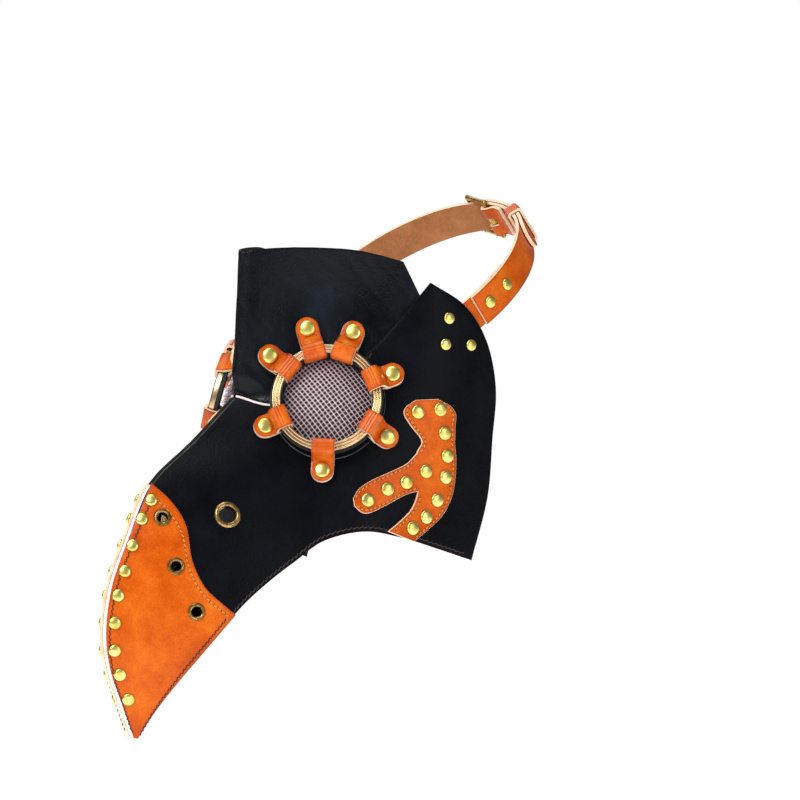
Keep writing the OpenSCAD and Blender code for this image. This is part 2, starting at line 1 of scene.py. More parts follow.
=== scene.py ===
"""The looks of a plague doctor's mask: cut leather, brass fittings and caged eyes."""

import bisect
import logging
import math
from collections.abc import Callable, Iterable
from dataclasses import dataclass, field
from enum import Enum
from functools import lru_cache

import bmesh
import bpy
from mathutils import Matrix, Vector, noise
from mathutils.kdtree import KDTree


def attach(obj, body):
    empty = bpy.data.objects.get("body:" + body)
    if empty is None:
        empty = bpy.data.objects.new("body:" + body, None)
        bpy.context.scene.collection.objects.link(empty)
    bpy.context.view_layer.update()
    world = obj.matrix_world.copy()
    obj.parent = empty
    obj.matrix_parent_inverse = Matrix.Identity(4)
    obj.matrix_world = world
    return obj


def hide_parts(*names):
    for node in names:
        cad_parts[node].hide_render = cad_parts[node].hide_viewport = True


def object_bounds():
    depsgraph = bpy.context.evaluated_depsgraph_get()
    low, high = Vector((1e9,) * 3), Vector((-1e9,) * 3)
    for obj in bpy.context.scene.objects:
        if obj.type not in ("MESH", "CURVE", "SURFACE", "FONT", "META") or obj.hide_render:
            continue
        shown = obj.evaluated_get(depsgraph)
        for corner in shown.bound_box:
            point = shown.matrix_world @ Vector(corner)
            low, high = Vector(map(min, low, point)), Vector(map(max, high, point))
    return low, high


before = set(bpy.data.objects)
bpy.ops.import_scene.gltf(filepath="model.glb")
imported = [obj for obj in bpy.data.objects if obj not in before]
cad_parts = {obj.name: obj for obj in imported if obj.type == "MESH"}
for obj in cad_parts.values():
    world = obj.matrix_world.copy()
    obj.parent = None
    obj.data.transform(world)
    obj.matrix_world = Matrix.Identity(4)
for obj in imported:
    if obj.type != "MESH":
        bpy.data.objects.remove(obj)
CAD_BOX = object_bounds()

LOG = logging.getLogger("mask")
MM = 0.001
Pair = tuple[float, float]
Path = list[Vector]


class Side(Enum):
    """The wearer's two sides; the left is +X."""

    LEFT = "left"
    RIGHT = "right"


class Slot(Enum):
    """The record's material slots."""

    BLACK = "black_leather"
    ORANGE = "orange_leather"
    MESH = "wire_mesh"
    LENS = "dark_lens"
    WASHER = "black_washer"
    PLASTIC = "black_plastic"
    RING = "aged_brass"
    EYELET = "eyelet_brass"
    BUCKLE = "buckle_brass"
    STUD = "stud_brass"


# ---- colours and material nodes ----


def linear(code: str) -> tuple[float, float, float, float]:
    """Turns an sRGB hex colour to linear.

    Args:
        code: The colour as "#rrggbb".

    Returns:
        The linear colour with full alpha.
    """
    parts = [int(code[i : i + 2], 16) / 255 for i in (1, 3, 5)]
    return tuple(p / 12.92 if p <= 0.04045 else ((p + 0.055) / 1.055) ** 2.4 for p in parts) + (1.0,)


def add_node(
    tree: bpy.types.NodeTree, kind: str, settings: dict | None = None, links: dict | None = None
) -> bpy.types.Node:
    """Adds one node.

    Args:
        tree: The node tree.
        kind: The node's type.
        settings: Values by property name, or else by input name or number.
        links: Output sockets by input name or number.

    Returns:
        The new node.
    """
    node = tree.nodes.new(kind)
    for key, value in (settings or {}).items():
        if isinstance(key, str) and hasattr(node, key):
            setattr(node, key, value)
        else:
            node.inputs[key].default_value = value
    for key, source in (links or {}).items():
        tree.links.new(source, node.inputs[key])
    return node


def start_material(name: str, settings: dict) -> tuple[
    bpy.types.NodeTree, bpy.types.Node, bpy.types.NodeSocket
]:
    """Starts a material.

    Args:
        name: The material's name.
        settings: Values for the shader's own sockets.

    Returns:
        The node tree, the shader and the object coordinates.
    """
    material = bpy.data.materials.new(name)
    material.use_nodes = True
    tree = material.node_tree
    shader = tree.nodes["Principled BSDF"]
    for key, value in settings.items():
        shader.inputs[key].default_value = value
    where = add_node(tree, "ShaderNodeTexCoord").outputs["Object"]
    return tree, shader, where


def ramp(
    tree: bpy.types.NodeTree, factor: bpy.types.NodeSocket, stops: list[tuple[float, str]]
) -> bpy.types.NodeSocket:
    """Reads a colour ramp.

    Args:
        tree: The node tree.
        factor: The value that picks the colour.
        stops: Positions and hex colours, in rising order.

    Returns:
        The ramp's colour.
    """
    node = add_node(tree, "ShaderNodeValToRGB", links={"Fac": factor})
    elements = node.color_ramp.elements
    while len(elements) < len(stops):
        elements.new(0.5)
    for element, (position, code) in zip(elements, stops):
        element.position = position
        element.color = linear(code)
    return node.outputs["Color"]


def math_node(
    tree: bpy.types.NodeTree, operation: str, a: bpy.types.NodeSocket | float, b: bpy.types.NodeSocket | float
) -> bpy.types.NodeSocket:
    """Combines two values.

    Args:
        tree: The node tree.
        operation: The Math node's operation.
        a: The first value or socket.
        b: The second value or socket.

    Returns:
        The result.
    """
    node = add_node(tree, "ShaderNodeMath", {"operation": operation})
    for i, source in enumerate((a, b)):
        if isinstance(source, (int, float)):
            node.inputs[i].default_value = source
        else:
            tree.links.new(source, node.inputs[i])
    return node.outputs[0]


@dataclass(frozen=True)
class Leather:
    """A finished cowhide: cloudy dye, pebbled grain and fine creases under a thin dressing."""

    name: str
    stops: tuple[tuple[float, str], ...]
    edge: str
    roughness: float = 0.45
    coat: float = 0.1
    cloud_mm: float = 28.0
    grain_mm: float = 1.3
    grain_depth_mm: float = 0.12
    crease_mm: float = 7.0
    crease_depth_mm: float = 0.25
    crease_turn: float = 0.0
    crease_stretch: float = 1.0
    edge_mm: float = 1.6
    shine: float = 0.4

    def material(self) -> bpy.types.Material:
        """Builds the material."""
        tree, shader, where = start_material(
            self.name, {
                "Coat Weight": self.coat, "Coat Roughness": 0.3, "Specular IOR Level": self.shine, "IOR": 1.5
            }
        )
        cloud = add_node(
            tree, "ShaderNodeTexNoise", {"Scale": 1 / (self.cloud_mm * MM), "Detail": 5.0, "Roughness": 0.62},
            {"Vector": where},
        ).outputs["Fac"]
        dye = ramp(tree, cloud, list(self.stops))
        # The edge is burnished by cutting and handling, so its dye is deeper for the first millimetre or two.
        inset = add_node(tree, "ShaderNodeAttribute", {"attribute_name": "inset"}).outputs["Fac"]
        rim = add_node(
            tree, "ShaderNodeMapRange",
            {"From Min": 0.0, "From Max": self.edge_mm, "To Min": 0.75, "To Max": 0.0},
            {"Value": inset},
        ).outputs["Result"]
        shade = add_node(
            tree, "ShaderNodeMix", {"data_type": "RGBA", 7: linear(self.edge)}, {0: rim, 6: dye}
        ).outputs[2]
        pores = add_node(
            tree, "ShaderNodeTexVoronoi",
            {"feature": "SMOOTH_F1", "Scale": 1 / (self.grain_mm * MM), "Smoothness": 0.4},
            {"Vector": where},
        ).outputs["Distance"]
        dark_pores = add_node(
            tree, "ShaderNodeMix", {"data_type": "RGBA", "blend_type": "MULTIPLY", 0: 0.35},
            {6: shade, 7: ramp(tree, pores, [(0.0, "#ffffff"), (0.75, "#9a9a9a")])},
        ).outputs[2]
        tree.links.new(dark_pores, shader.inputs["Base Color"])
        turned = add_node(
            tree, "ShaderNodeMapping",
            {
                "Rotation": (0.0, self.crease_turn, 0.0),
                "Scale": (self.crease_stretch, self.crease_stretch, 1.0)
            }, {"Vector": where},
        ).outputs["Vector"]
        creases = add_node(
            tree, "ShaderNodeTexNoise",
            {"noise_type": "RIDGED_MULTIFRACTAL", "Scale": 1 / (self.crease_mm * MM), "Detail": 4.0, "Roughness": 0.6,
             "Distortion": 0.4},
            {"Vector": turned},
        ).outputs["Fac"]
        deep = add_node(
            tree, "ShaderNodeBump", {"Strength": 0.6, "Distance": self.crease_depth_mm * MM},
            {"Height": creases}
        ).outputs["Normal"]
        grain = add_node(
            tree, "ShaderNodeBump", {"Strength": 0.8, "Distance": self.grain_depth_mm * MM},
            {"Height": pores, "Normal": deep},
        ).outputs["Normal"]
        tree.links.new(grain, shader.inputs["Normal"])
        wear = add_node(
            tree, "ShaderNodeMapRange",
            {
                "From Min": 0.3, "From Max": 0.7, "To Min": self.roughness - 0.1,
                "To Max": self.roughness + 0.1
            },
            {"Value": cloud},
        ).outputs["Result"]
        tree.links.new(wear, shader.inputs["Roughness"])
        return bpy.data.materials[self.name]


@dataclass(frozen=True)
class RawLeather:
    """Undyed leather where it was cut, or its flesh side: pale fibres with no shine."""

    name: str
    stops: tuple[tuple[float, str], ...]
    fibre_mm: float = 0.9
    depth_mm: float = 0.15

    def material(self) -> bpy.types.Material:
        """Builds the material."""
        tree, shader, where = start_material(self.name, {"Roughness": 0.85, "Specular IOR Level": 0.25})
        fibres = add_node(
            tree, "ShaderNodeTexNoise", {"Scale": 1 / (self.fibre_mm * MM), "Detail": 6.0, "Roughness": 0.7},
            {"Vector": where},
        ).outputs["Fac"]
        blotches = add_node(
            tree, "ShaderNodeTexNoise", {"Scale": 1 / (9 * self.fibre_mm * MM), "Detail": 3.0},
            {"Vector": where}
        ).outputs["Fac"]
        mixed = math_node(
            tree, "ADD", math_node(tree, "MULTIPLY", fibres, 0.5), math_node(tree, "MULTIPLY", blotches, 0.5)
        )
        tree.links.new(ramp(tree, mixed, list(self.stops)), shader.inputs["Base Color"])
        nap = add_node(
            tree, "ShaderNodeBump", {"Strength": 0.7, "Distance": self.depth_mm * MM}, {"Height": fibres}
        )
        tree.links.new(nap.outputs["Normal"], shader.inputs["Normal"])
        return bpy.data.materials[self.name]


@dataclass(frozen=True)
class Metal:
    """A worked metal: tarnish in clouds and pits over a hammered or brushed face."""

    name: str
    stops: tuple[tuple[float, str], ...]
    roughness: float
    pebble_mm: float = 1.2
    pebble_depth_mm: float = 0.15
    cloud_mm: float = 6.0
    pits: float = 0.4
    metallic: float = 1.0

    def material(self) -> bpy.types.Material:
        """Builds the material."""
        tree, shader, where = start_material(self.name, {"Metallic": self.metallic})
        cloud = add_node(
            tree, "ShaderNodeTexNoise", {"Scale": 1 / (self.cloud_mm * MM), "Detail": 5.0, "Roughness": 0.65},
            {"Vector": where},
        ).outputs["Fac"]
        pebbles = add_node(
            tree, "ShaderNodeTexVoronoi", {"feature": "SMOOTH_F1", "Scale": 1 / (self.pebble_mm * MM)},
            {"Vector": where}
        ).outputs["Distance"]
        tarnish = math_node(
            tree, "SUBTRACT", math_node(tree, "ADD", cloud, 0.2),
            math_node(tree, "MULTIPLY", pebbles, self.pits)
        )
        tree.links.new(ramp(tree, tarnish, list(self.stops)), shader.inputs["Base Color"])
        spread = add_node(
            tree, "ShaderNodeMapRange",
            {
                "From Min": 0.3, "From Max": 0.7, "To Min": self.roughness + 0.12,
                "To Max": self.roughness - 0.06
            },
            {"Value": tarnish},
        ).outputs["Result"]
        tree.links.new(spread, shader.inputs["Roughness"])
        face = add_node(
            tree, "ShaderNodeBump", {"Strength": 0.7, "Distance": self.pebble_depth_mm * MM, "invert": True},
            {"Height": pebbles},
        ).outputs["Normal"]
        tree.links.new(face, shader.inputs["Normal"])
        return bpy.data.materials[self.name]


@dataclass(frozen=True)
class Moulded:
    """A plain moulded, spun or glazed surface: an even colour with faint scuffs."""

    name: str
    dark: str
    light: str
    roughness: float
    scuff_mm: float = 3.0
    coat: float = 0.0
    depth_mm: float = 0.03

    def material(self) -> bpy.types.Material:
        """Builds the material."""
        tree, shader, where = start_material(self.name, {"Coat Weight": self.coat, "IOR": 1.5})
        scuffs = add_node(
            tree, "ShaderNodeTexNoise", {"Scale": 1 / (self.scuff_mm * MM), "Detail": 6.0, "Roughness": 0.7},
            {"Vector": where},
        ).outputs["Fac"]
        tree.links.new(
            ramp(tree, scuffs, [(0.35, self.dark), (0.7, self.light)]), shader.inputs["Base Color"]
        )
        spread = add_node(
            tree, "ShaderNodeMapRange",
            {"From Min": 0.3, "From Max": 0.7, "To Min": self.roughness, "To Max": self.roughness + 0.15},
            {"Value": scuffs},
        ).outputs["Result"]
        tree.links.new(spread, shader.inputs["Roughness"])
        bump = add_node(
            tree, "ShaderNodeBump", {"Strength": 0.5, "Distance": self.depth_mm * MM}, {"Height": scuffs}
        )
        tree.links.new(bump.outputs["Normal"], shader.inputs["Normal"])
        return bpy.data.materials[self.name]


# Chrome-tanned cowhide with a black finish: satin, with a tight pebble grain.
BLACK_HIDE = Leather(
    "finished_black_cowhide", ((0.3, "#07080c"), (0.55, "#0a0c12"), (0.8, "#10131b")), "#050507",
    roughness=0.4, coat=0.0, crease_mm=11.0, crease_depth_mm=0.15, shine=0.06,
)
# Softer black hide whose dye clouds towards blue as a painted sheen: glossier, with slanting creases where it is
# drawn over the brow.
BROW_HIDE = Leather(
    "glazed_blue_black_cowhide", ((0.3, "#06080c"), (0.55, "#090d15"), (0.8, "#12202f")), "#05060a",
    roughness=0.33, coat=0.0, shine=0.16, cloud_mm=36.0, grain_mm=1.1, crease_mm=9.0, crease_depth_mm=0.2,
    crease_turn=math.radians(25), crease_stretch=3.0,
)
# Oil-dyed bridle leather in burnt orange: a smooth grain with a waxy shine and cloudy dye.
ORANGE_HIDE = Leather(
    "orange_bridle_leather", ((0.25, "#b24000"), (0.45, "#cc5400"), (0.6, "#dc6306"), (0.8, "#e87818")),
    "#a23a00",
    roughness=0.36, coat=0.0, shine=0.16, cloud_mm=22.0, grain_mm=0.9, grain_depth_mm=0.07, crease_mm=9.0,
    crease_depth_mm=0.12,
)
# The same leather in strips for the loops, dyed a little redder.
LOOP_HIDE = Leather(
    "orange_loop_leather", ((0.25, "#ae3c00"), (0.45, "#d05602"), (0.62, "#e46c08"), (0.8, "#f08622")),
    "#9c3600",
    roughness=0.27, coat=0.0, shine=0.32, cloud_mm=14.0, grain_mm=0.9, grain_depth_mm=0.07, crease_mm=6.0,
    crease_depth_mm=0.15,
)
# The cut edge of vegetable-tanned leather: cream fibres, with no dye.
CREAM_EDGE = RawLeather("raw_leather_edge", ((0.25, "#d9a878"), (0.5, "#f3cfae"), (0.75, "#ffeedd")))
# The cut edge of the black hide, whose dye stops short of its pale core; along the jaw its pale line is partly raw
# edge and partly painted highlight.
PALE_EDGE = RawLeather("raw_hide_edge", ((0.25, "#c9b4b4"), (0.5, "#eadedf"), (0.75, "#fff6f8")))
# The same edge where it was dyed with the hide.
DYED_EDGE = RawLeather("dyed_hide_edge", ((0.3, "#0c0c0f"), (0.55, "#1e1d20"), (0.85, "#6e686a")))
# The edge of the collar, where the dye has rubbed thin; the same grey makes the bead along the ridge, a painted
# highlight.
WORN_EDGE_AND_HIGHLIGHT = RawLeather("worn_hide_edge", ((0.3, "#1c1c1b"), (0.55, "#4c4b46"), (0.85, "#9a988c")))
# The flesh side of the black hide: brushed grey-brown suede, darkened to near black, partly its own colour and partly
# painted shade for the mask's inside.
FLESH_SIDE = RawLeather(
    "black_hide_flesh_side", ((0.25, "#070606"), (0.5, "#0d0b0a"), (0.75, "#151210")), 1.4
)
# The flesh side of the orange leather: tan suede.
TAN_FLESH = RawLeather(
    "orange_leather_flesh_side", ((0.25, "#8a5530"), (0.5, "#a96c40"), (0.75, "#c08458")), 1.2
)
# Spun brass, darkened by age in clouds.
RING_BRASS = Metal(
    "aged_spun_brass", ((0.2, "#4c3a28"), (0.45, "#8c6f4e"), (0.8, "#d4b48c")), 0.32,
    pebble_mm=4.0, pebble_depth_mm=0.004, pits=0.0, cloud_mm=9.0,
)
# Pressed brass caps with a hammered, lightly polished face.
STUD_BRASS = Metal(
    "hammered_brass", ((0.2, "#a89040"), (0.4, "#c8b458"), (0.6, "#dccc70"), (0.85, "#f2e8a0")), 0.36,
    pebble_mm=1.6, pebble_depth_mm=0.04, pits=0.2, cloud_mm=5.0,
)
# Rolled brass eyelets with a dull antique plating.
EYELET_BRASS = Metal(
    "antique_plated_brass", ((0.25, "#4a3a20"), (0.5, "#846a3c"), (0.8, "#c4a870")), 0.32,
    pebble_mm=0.9, pebble_depth_mm=0.04,
)
# A cast brass buckle with clouded tarnish.
BUCKLE_BRASS = Metal(
    "cast_buckle_brass", ((0.25, "#5a4017"), (0.5, "#a98339"), (0.8, "#dcb76a")), 0.28,
    pebble_mm=1.0, pebble_depth_mm=0.04,
)
# Plain woven tinned wire, a dull pinkish white, in its lit copy: a painted highlight for the weave's direction that
# catches the light.
LIT_WIRE = Metal(
    "tinned_steel_wire", ((0.25, "#d8c0ca"), (0.5, "#f0dce6"), (0.8, "#fff0f8")), 0.45,
    pebble_mm=0.6, pebble_depth_mm=0.01, pits=0.1, metallic=0.45,
)
# The same wire made darker as painted shade, for the weave's other direction, which catches less light.
SHADED_WIRE = Metal(
    "dull_steel_wire", ((0.25, "#9a868e"), (0.5, "#c0acb4"), (0.8, "#dccad2")), 0.45,
    pebble_mm=0.6, pebble_depth_mm=0.01, pits=0.1, metallic=0.6,
)
# Smoked acrylic over a dark interior: satin, with a red-brown tint.
SMOKED_LENS = Moulded("smoked_red_acrylic", "#1c0404", "#34090a", 0.5, depth_mm=0.005)
# Black nitrile rubber: matt, with a dusty bloom.
RUBBER = Moulded("black_nitrile_rubber", "#0b0b0c", "#17171a", 0.6)
# Moulded black ABS with a fine spark texture.
BLACK_ABS = Moulded("moulded_black_abs", "#0f0f11", "#1a1a1d", 0.42, scuff_mm=0.8)
# Waxed linen thread, twisted: yellow-orange, brown, and black.
YELLOW_THREAD = Moulded("waxed_yellow_thread", "#b4620c", "#e89a40", 0.55, scuff_mm=0.5, depth_mm=0.1)
BROWN_THREAD = Moulded("waxed_brown_thread", "#2a0f06", "#4d2010", 0.55, scuff_mm=0.5, depth_mm=0.1)
BLACK_THREAD = Moulded("waxed_black_thread", "#08080a", "#1c1c20", 0.45, scuff_mm=0.5, depth_mm=0.1)
# The inside of an awl hole, in shade.
AWL_HOLE = Moulded("awl_hole", "#3a1204", "#541c06", 0.8)
Finish = Leather | RawLeather | Metal | Moulded


def dressed(finish: Finish) -> bpy.types.Material:
    """The finish's material, built once."""
    return bpy.data.materials.get(finish.name) or finish.material()


# ---- curves and the skin ----


def blend4(a, b, c, d, t: float):
    """A smooth step from b to c that also follows a and d.

    Args:
        a, b, c, d: Four neighbouring numbers or vectors.
        t: The fraction of the way from b to c.

    Returns:
        The value at t.
    """
    return 0.5 * (
        2 * b + (c - a) * t + (2 * a - 5 * b + 4 * c - d) * t * t + (3 * b - a - 3 * c + d) * t * t * t
    )


def along(values: list, s: float):
    """A value on the smooth curve through a list.

    Args:
        values: Numbers or vectors.
        s: A fractional index.

    Returns:
        The value there.
    """
    last = len(values) - 1
    i = min(max(math.floor(s), 0), last - 1)
    before = values[i - 1] if i > 0 else 2 * values[0] - values[1]
    after = values[i + 2] if i < last - 1 else 2 * values[last] - values[last - 1]
    return blend4(before, values[i], values[i + 1], after, s - i)


def vectors(pairs: Iterable[Pair]) -> Path:
    """Pairs as 2-D vectors."""
    return [Vector(p) for p in pairs]


def curve(points: Path, steps: int) -> Path:
    """The smooth curve through points, cut into equal steps."""
    return [along(points, i * (len(points) - 1) / steps) for i in range(steps + 1)]


def fraction_along(points: Path, f: float) -> Vector:
    """The point at fraction f of a listed curve."""
    return along(points, f * (len(points) - 1))


@dataclass(frozen=True)
class Skin:
    """The mask's outer surface in mm: a flat pattern, u along a side and z up, bent round the face."""

    turn: float = math.radians(40)
    ridge_half: float = 1.4
    draw_in: float = 22.0
    station: float = 40.0
    level: float = 50.0
    top: float = 100.0
    rows: tuple[tuple[float, ...], ...] = (
        (-46.0, -21.0, 3.5, 26.0, 51.0, 72.0, 77.5),
        (-46.0, -21.0, 4.5, 24.5, 49.5, 73.5, 78.0),
        (-50.0, -23.0, 3.0, 30.5, 57.0, 75.0, 79.5),
        (-16.0, 7.0, 27.0, 43.0, 65.0, 76.0, 79.5),
        (-4.0, 18.0, 38.0, 54.5, 70.0, 76.0, 78.0),
        (-0.5, 20.0, 39.5, 53.5, 65.0, 72.0, 75.0),
        (-8.5, 12.5, 32.0, 47.0, 58.0, 65.0, 68.0),
    )

    def width_at(self, u: float, z: float) -> float:
        """The table's half-width at a point of the pattern."""
        s = (self.top - z) / self.level
        i = min(max(math.floor(s), 0), len(self.rows) - 2)
        lows = [min(max(k, 0), len(self.rows) - 1) for k in (i - 1, i, i + 1, i + 2)]
        near = [along(self.rows[k], u / self.station + 2) for k in lows]
        if i == 0:
            near[0] = 2 * near[1] - near[2]
        if i == len(self.rows) - 2:
            near[3] = 2 * near[2] - near[1]
        return blend4(*near, s - i)

    def half_width(self, u: float, z: float) -> float:
        """The skin's half-width, drawn in so that the two sides meet along the ridge."""
        r = ridge_u(z)
        return self.width_at(u, z) - (
            self.width_at(r, z) - self.ridge_half
        ) * math.exp(-max(u - r, 0) / self.draw_in)

    def point(self, u: float, z: float) -> Vector:
        """The skin's point, in mm."""
        x = self.half_width(u, z)
        return Vector((x, u / math.cos(self.turn) - x * math.tan(self.turn), z))

    def normal(self, u: float, z: float) -> Vector:
        """The skin's outward direction."""
        return skin_normal(round(u, 4), round(z, 4))

    def lift(self, u: float, z: float, h: float) -> Vector:
        """The point h above the skin, in mm."""
        return self.point(u, z) + h * self.normal(u, z)

    def place(self, u: float, z: float, h: float) -> Matrix:
        """A frame on the skin in mm, with z along its normal."""
        turn = self.normal(u, z).to_track_quat("Z", "Y").to_matrix().to_4x4()
        return Matrix.Translation(self.lift(u, z, h)) @ turn


SKIN = Skin()
RIDGE = vectors([(-59, -203), (-59.5, -200), (-66, -181), (-73, -160), (-75.5, -138), (-72, -111), (-63, -85),
                 (-49, -51), (-24, -26), (0, 0)])
BROW = vectors([(0, 0), (-2, 14), (-3, 30), (-3, 57), (-2, 85), (-1, 110)])
TOP_BEAK = RIDGE[1:]
TOP_SEAM = vectors([(0, 0), (24, -5), (52, 7), (84, 31), (116, 67.5)])
LOWER = vectors([(-57, -200.5), (-46, -183.5), (-33, -167), (-20.5, -152.5), (-8.5, -138), (6, -121.5), (21, -108),
                 (36, -96.5), (53, -84.6), (77, -79.3), (100, -83.5), (120, -90), (140, -97)])
REAR = vectors([(116, 67.5), (136, 54), (149, 33), (154.5, 5), (152.5, -25), (149.5, -60), (140, -97)])
PATCH_REAR = vectors([(-49, -51), (-37, -62), (-28.5, -76), (-25, -96), (-18, -111), (-9, -120), (0.5, -128)])
LIMB_FRONT = vectors([(104, -2), (99.5, -9), (103.5, -17), (110, -26), (107, -33.5), (106, -45), (107.5, -55.8),
                      (104, -66), (97, -73.5), (90, -79.3)])
LIMB_REAR = vectors([(122, -1.2), (129.5, -9), (129.5, -18), (129.3, -28), (130, -37), (129.5, -48), (127.5, -59),
                     (122, -70), (114, -78), (105, -85.5)])
BRANCH_TOP = vectors([(107, -33.5), (101, -39.5), (92, -44), (80, -49.5), (73, -54.5), (69.8, -60)])
BRANCH_LOW = vectors([(107.5, -55.8), (100, -58), (89, -64), (80, -68.3), (75, -68.3), (70.5, -64.5)])
BEAK_STUDS = [(-49, -61), (-54.5, -72), (-60, -87.5), (-64.5, -102.5), (-68.5, -116.5), (-70.5, -132.5),
              (-70.5, -148.5), (-67.5, -162.5), (-62.5, -177)]
CHEEK_STUDS = [(107.5, -9), (120.5, -7.5), (123, -21.5), (124.5, -35), (123.5, -47.5), (112, -44), (100.5, -50.5),
               (89.5, -54.5), (78, -61), (118.5, -61), (112, -71), (104, -77.5)]
SMALL_EYELETS = [(-42.5, -71), (-34.5, -99.5), (-22.5, -126)]
BIG_EYELET = (-4.0, -69.0)
TEMPLE_RIVETS = [(126.5, 46.5), (124.5, 31), (139.5, 30.5)]
EYE = (54.8, -3.2)
LOOPS_ON_BROW = [(42.9, 40.4), (70.1, 38.1), (20.4, 24)]
LOOPS_ON_SIDE = [(93.2, 12.3), (89.3, -24), (51.8, -44.2), (17.5, -18.5)]
RIDGE_LINE = curve(RIDGE, 36) + curve(BROW, 12)[1:]
RIDGE_HEIGHTS = [p.y for p in RIDGE_LINE]
SIDE_T = 2.4
BROW_DROP = 3.2
BROW_T = 1.8
TRIM_T = 1.6
GAP = 0.25


def ridge_u(z: float) -> float:
    """Where the ridge lies along the pattern at height z."""
    i = min(max(bisect.bisect_right(RIDGE_HEIGHTS, z), 1), len(RIDGE_LINE) - 1)
    low, high = RIDGE_LINE[i - 1], RIDGE_LINE[i]
    f = min(max((z - low.y) / (high.y - low.y), 0.0), 1.0)
    return low.x + (high.x - low.x) * f


@lru_cache(maxsize=None)
def skin_normal(u: float, z: float) -> Vector:
    """The skin's outward direction, kept for reuse."""
    across = SKIN.point(u + 2, z) - SKIN.point(u - 2, z)
    upward = SKIN.point(u, z + 2) - SKIN.point(u, z - 2)
    return across.cross(upward).normalized()


# ---- pieces ----


def new_piece(
    name: str, bm: bmesh.types.BMesh, finishes: list[Finish], smooth: float = 35.0
) -> bpy.types.Object:
    """Makes an object of a finished bmesh.

    Args:
        name: The piece's name.
        bm: The shape, in metres; it is freed.
        finishes: One finish for each material index.
        smooth: Edges sharper than this many degrees stay sharp.

    Returns:
        The new object.
    """
    mesh = bpy.data.meshes.new(name)
    bm.to_mesh(mesh)
    bm.free()
    for finish in finishes:
        mesh.materials.append(dressed(finish))
    mesh.shade_smooth()
    mesh.set_sharp_from_angle(angle=math.radians(smooth))
    piece = bpy.data.objects.new(name, mesh)
    bpy.context.scene.collection.objects.link(piece)
    return piece


def settle(piece: bpy.types.Object, smooth: float = 35.0) -> bpy.types.Object:
    """Applies a piece's modifiers.

    Args:
        piece: The piece.
        smooth: Edges sharper than this many degrees stay sharp.

    Returns:
        The same piece, with its final mesh.
    """
    bpy.context.view_layer.update()
    evaluated = piece.evaluated_get(bpy.context.evaluated_depsgraph_get())
    mesh = bpy.data.meshes.new_from_object(evaluated)
    piece.modifiers.clear()
    piece.data = mesh
    mesh.name = piece.name
    mesh.shade_smooth()
    mesh.set_sharp_from_angle(angle=math.radians(smooth))
    return piece


def fit(
    piece: bpy.types.Object, slot: Slot, nodes: Iterable[str] = (), body: str = "mask"
) -> bpy.types.Object:
    """Puts a piece on its body and hides the CAD nodes that it replaces.

    Args:
        piece: The piece.
        slot: Not used.
        nodes: The CAD nodes that it replaces.
        body: The body that it rides on.

    Returns:
        The same piece.
    """
    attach(piece, body)
    if nodes:
        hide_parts(*nodes)
    LOG.info("%s: %d faces on %s", piece.name, len(piece.data.polygons), body)
    return piece


def reflected(piece: bpy.types.Object, name: str) -> bpy.types.Object:
    """A mirror image of a settled piece, with its faces turned outwards again.

    Args:
        piece: The left piece.
        name: The new piece's name.

    Returns:
        The right piece.
    """
    mesh = piece.data.copy()
    mesh.name = name
    bm = bmesh.new()
    bm.from_mesh(mesh)
    bmesh.ops.scale(bm, vec=(-1, 1, 1), verts=bm.verts)
    bmesh.ops.reverse_faces(bm, faces=bm.faces)
    bm.to_mesh(mesh)
    bm.free()
    other = bpy.data.objects.new(name, mesh)
    bpy.context.scene.collection.objects.link(other)
    return other


def both(piece: bpy.types.Object, slot: Slot, node: str = "") -> None:
    """Fits a left piece, whose name ends in _left, and its mirror image.

    Args:
        piece: The left piece.
        slot: The record's material slot.
        node: The CAD node's name without its side, or nothing.
    """
    stem = piece.name.removesuffix(Side.LEFT.value)
    other = reflected(piece, stem + Side.RIGHT.value)
    for side, one in ((Side.LEFT, piece), (Side.RIGHT, other)):
        fit(one, slot, [f"{node}_{side.value}"] if node else [])


def mark_inset(bm: bmesh.types.BMesh) -> None:
    """Writes each vertex's distance from the open edge, in mm, for the burnished edges."""
    layer = bm.verts.layers.float.new("inset")
    rim = [v for v in bm.verts if v.is_boundary]
    tree = KDTree(len(rim))
    for i, v in enumerate(rim):
        tree.insert(v.co, i)
    tree.balance()
    for v in bm.verts:
        v[layer] = tree.find(v.co)[2] / MM


def cut_sheet(columns: int, rows: int, shape: Callable[[float, float], Vector]) -> bmesh.types.BMesh:
    """A sheet whose faces look along the shape's normal.

    Args:
        columns: Faces across.
        rows: Faces along.
        shape: Gives a point in mm for two fractions from 0 to 1.

    Returns:
        The sheet's bmesh, in metres.
    """
    bm = bmesh.new()
    bmesh.ops.create_grid(bm, x_segments=columns, y_segments=rows, size=0.5)
    for v in bm.verts:
        v.co = shape(v.co.x + 0.5, v.co.y + 0.5) * MM
    return bm


def face_along(bm: bmesh.types.BMesh, direction: Callable[[Vector], Vector]) -> None:
    """Turns all faces over if they look against a direction."""
    bm.normal_update()
    score = sum(f.normal.dot(direction(f.calc_center_median())) * f.calc_area() for f in bm.faces)
    if score < 0:
        bmesh.ops.reverse_faces(bm, faces=bm.faces)


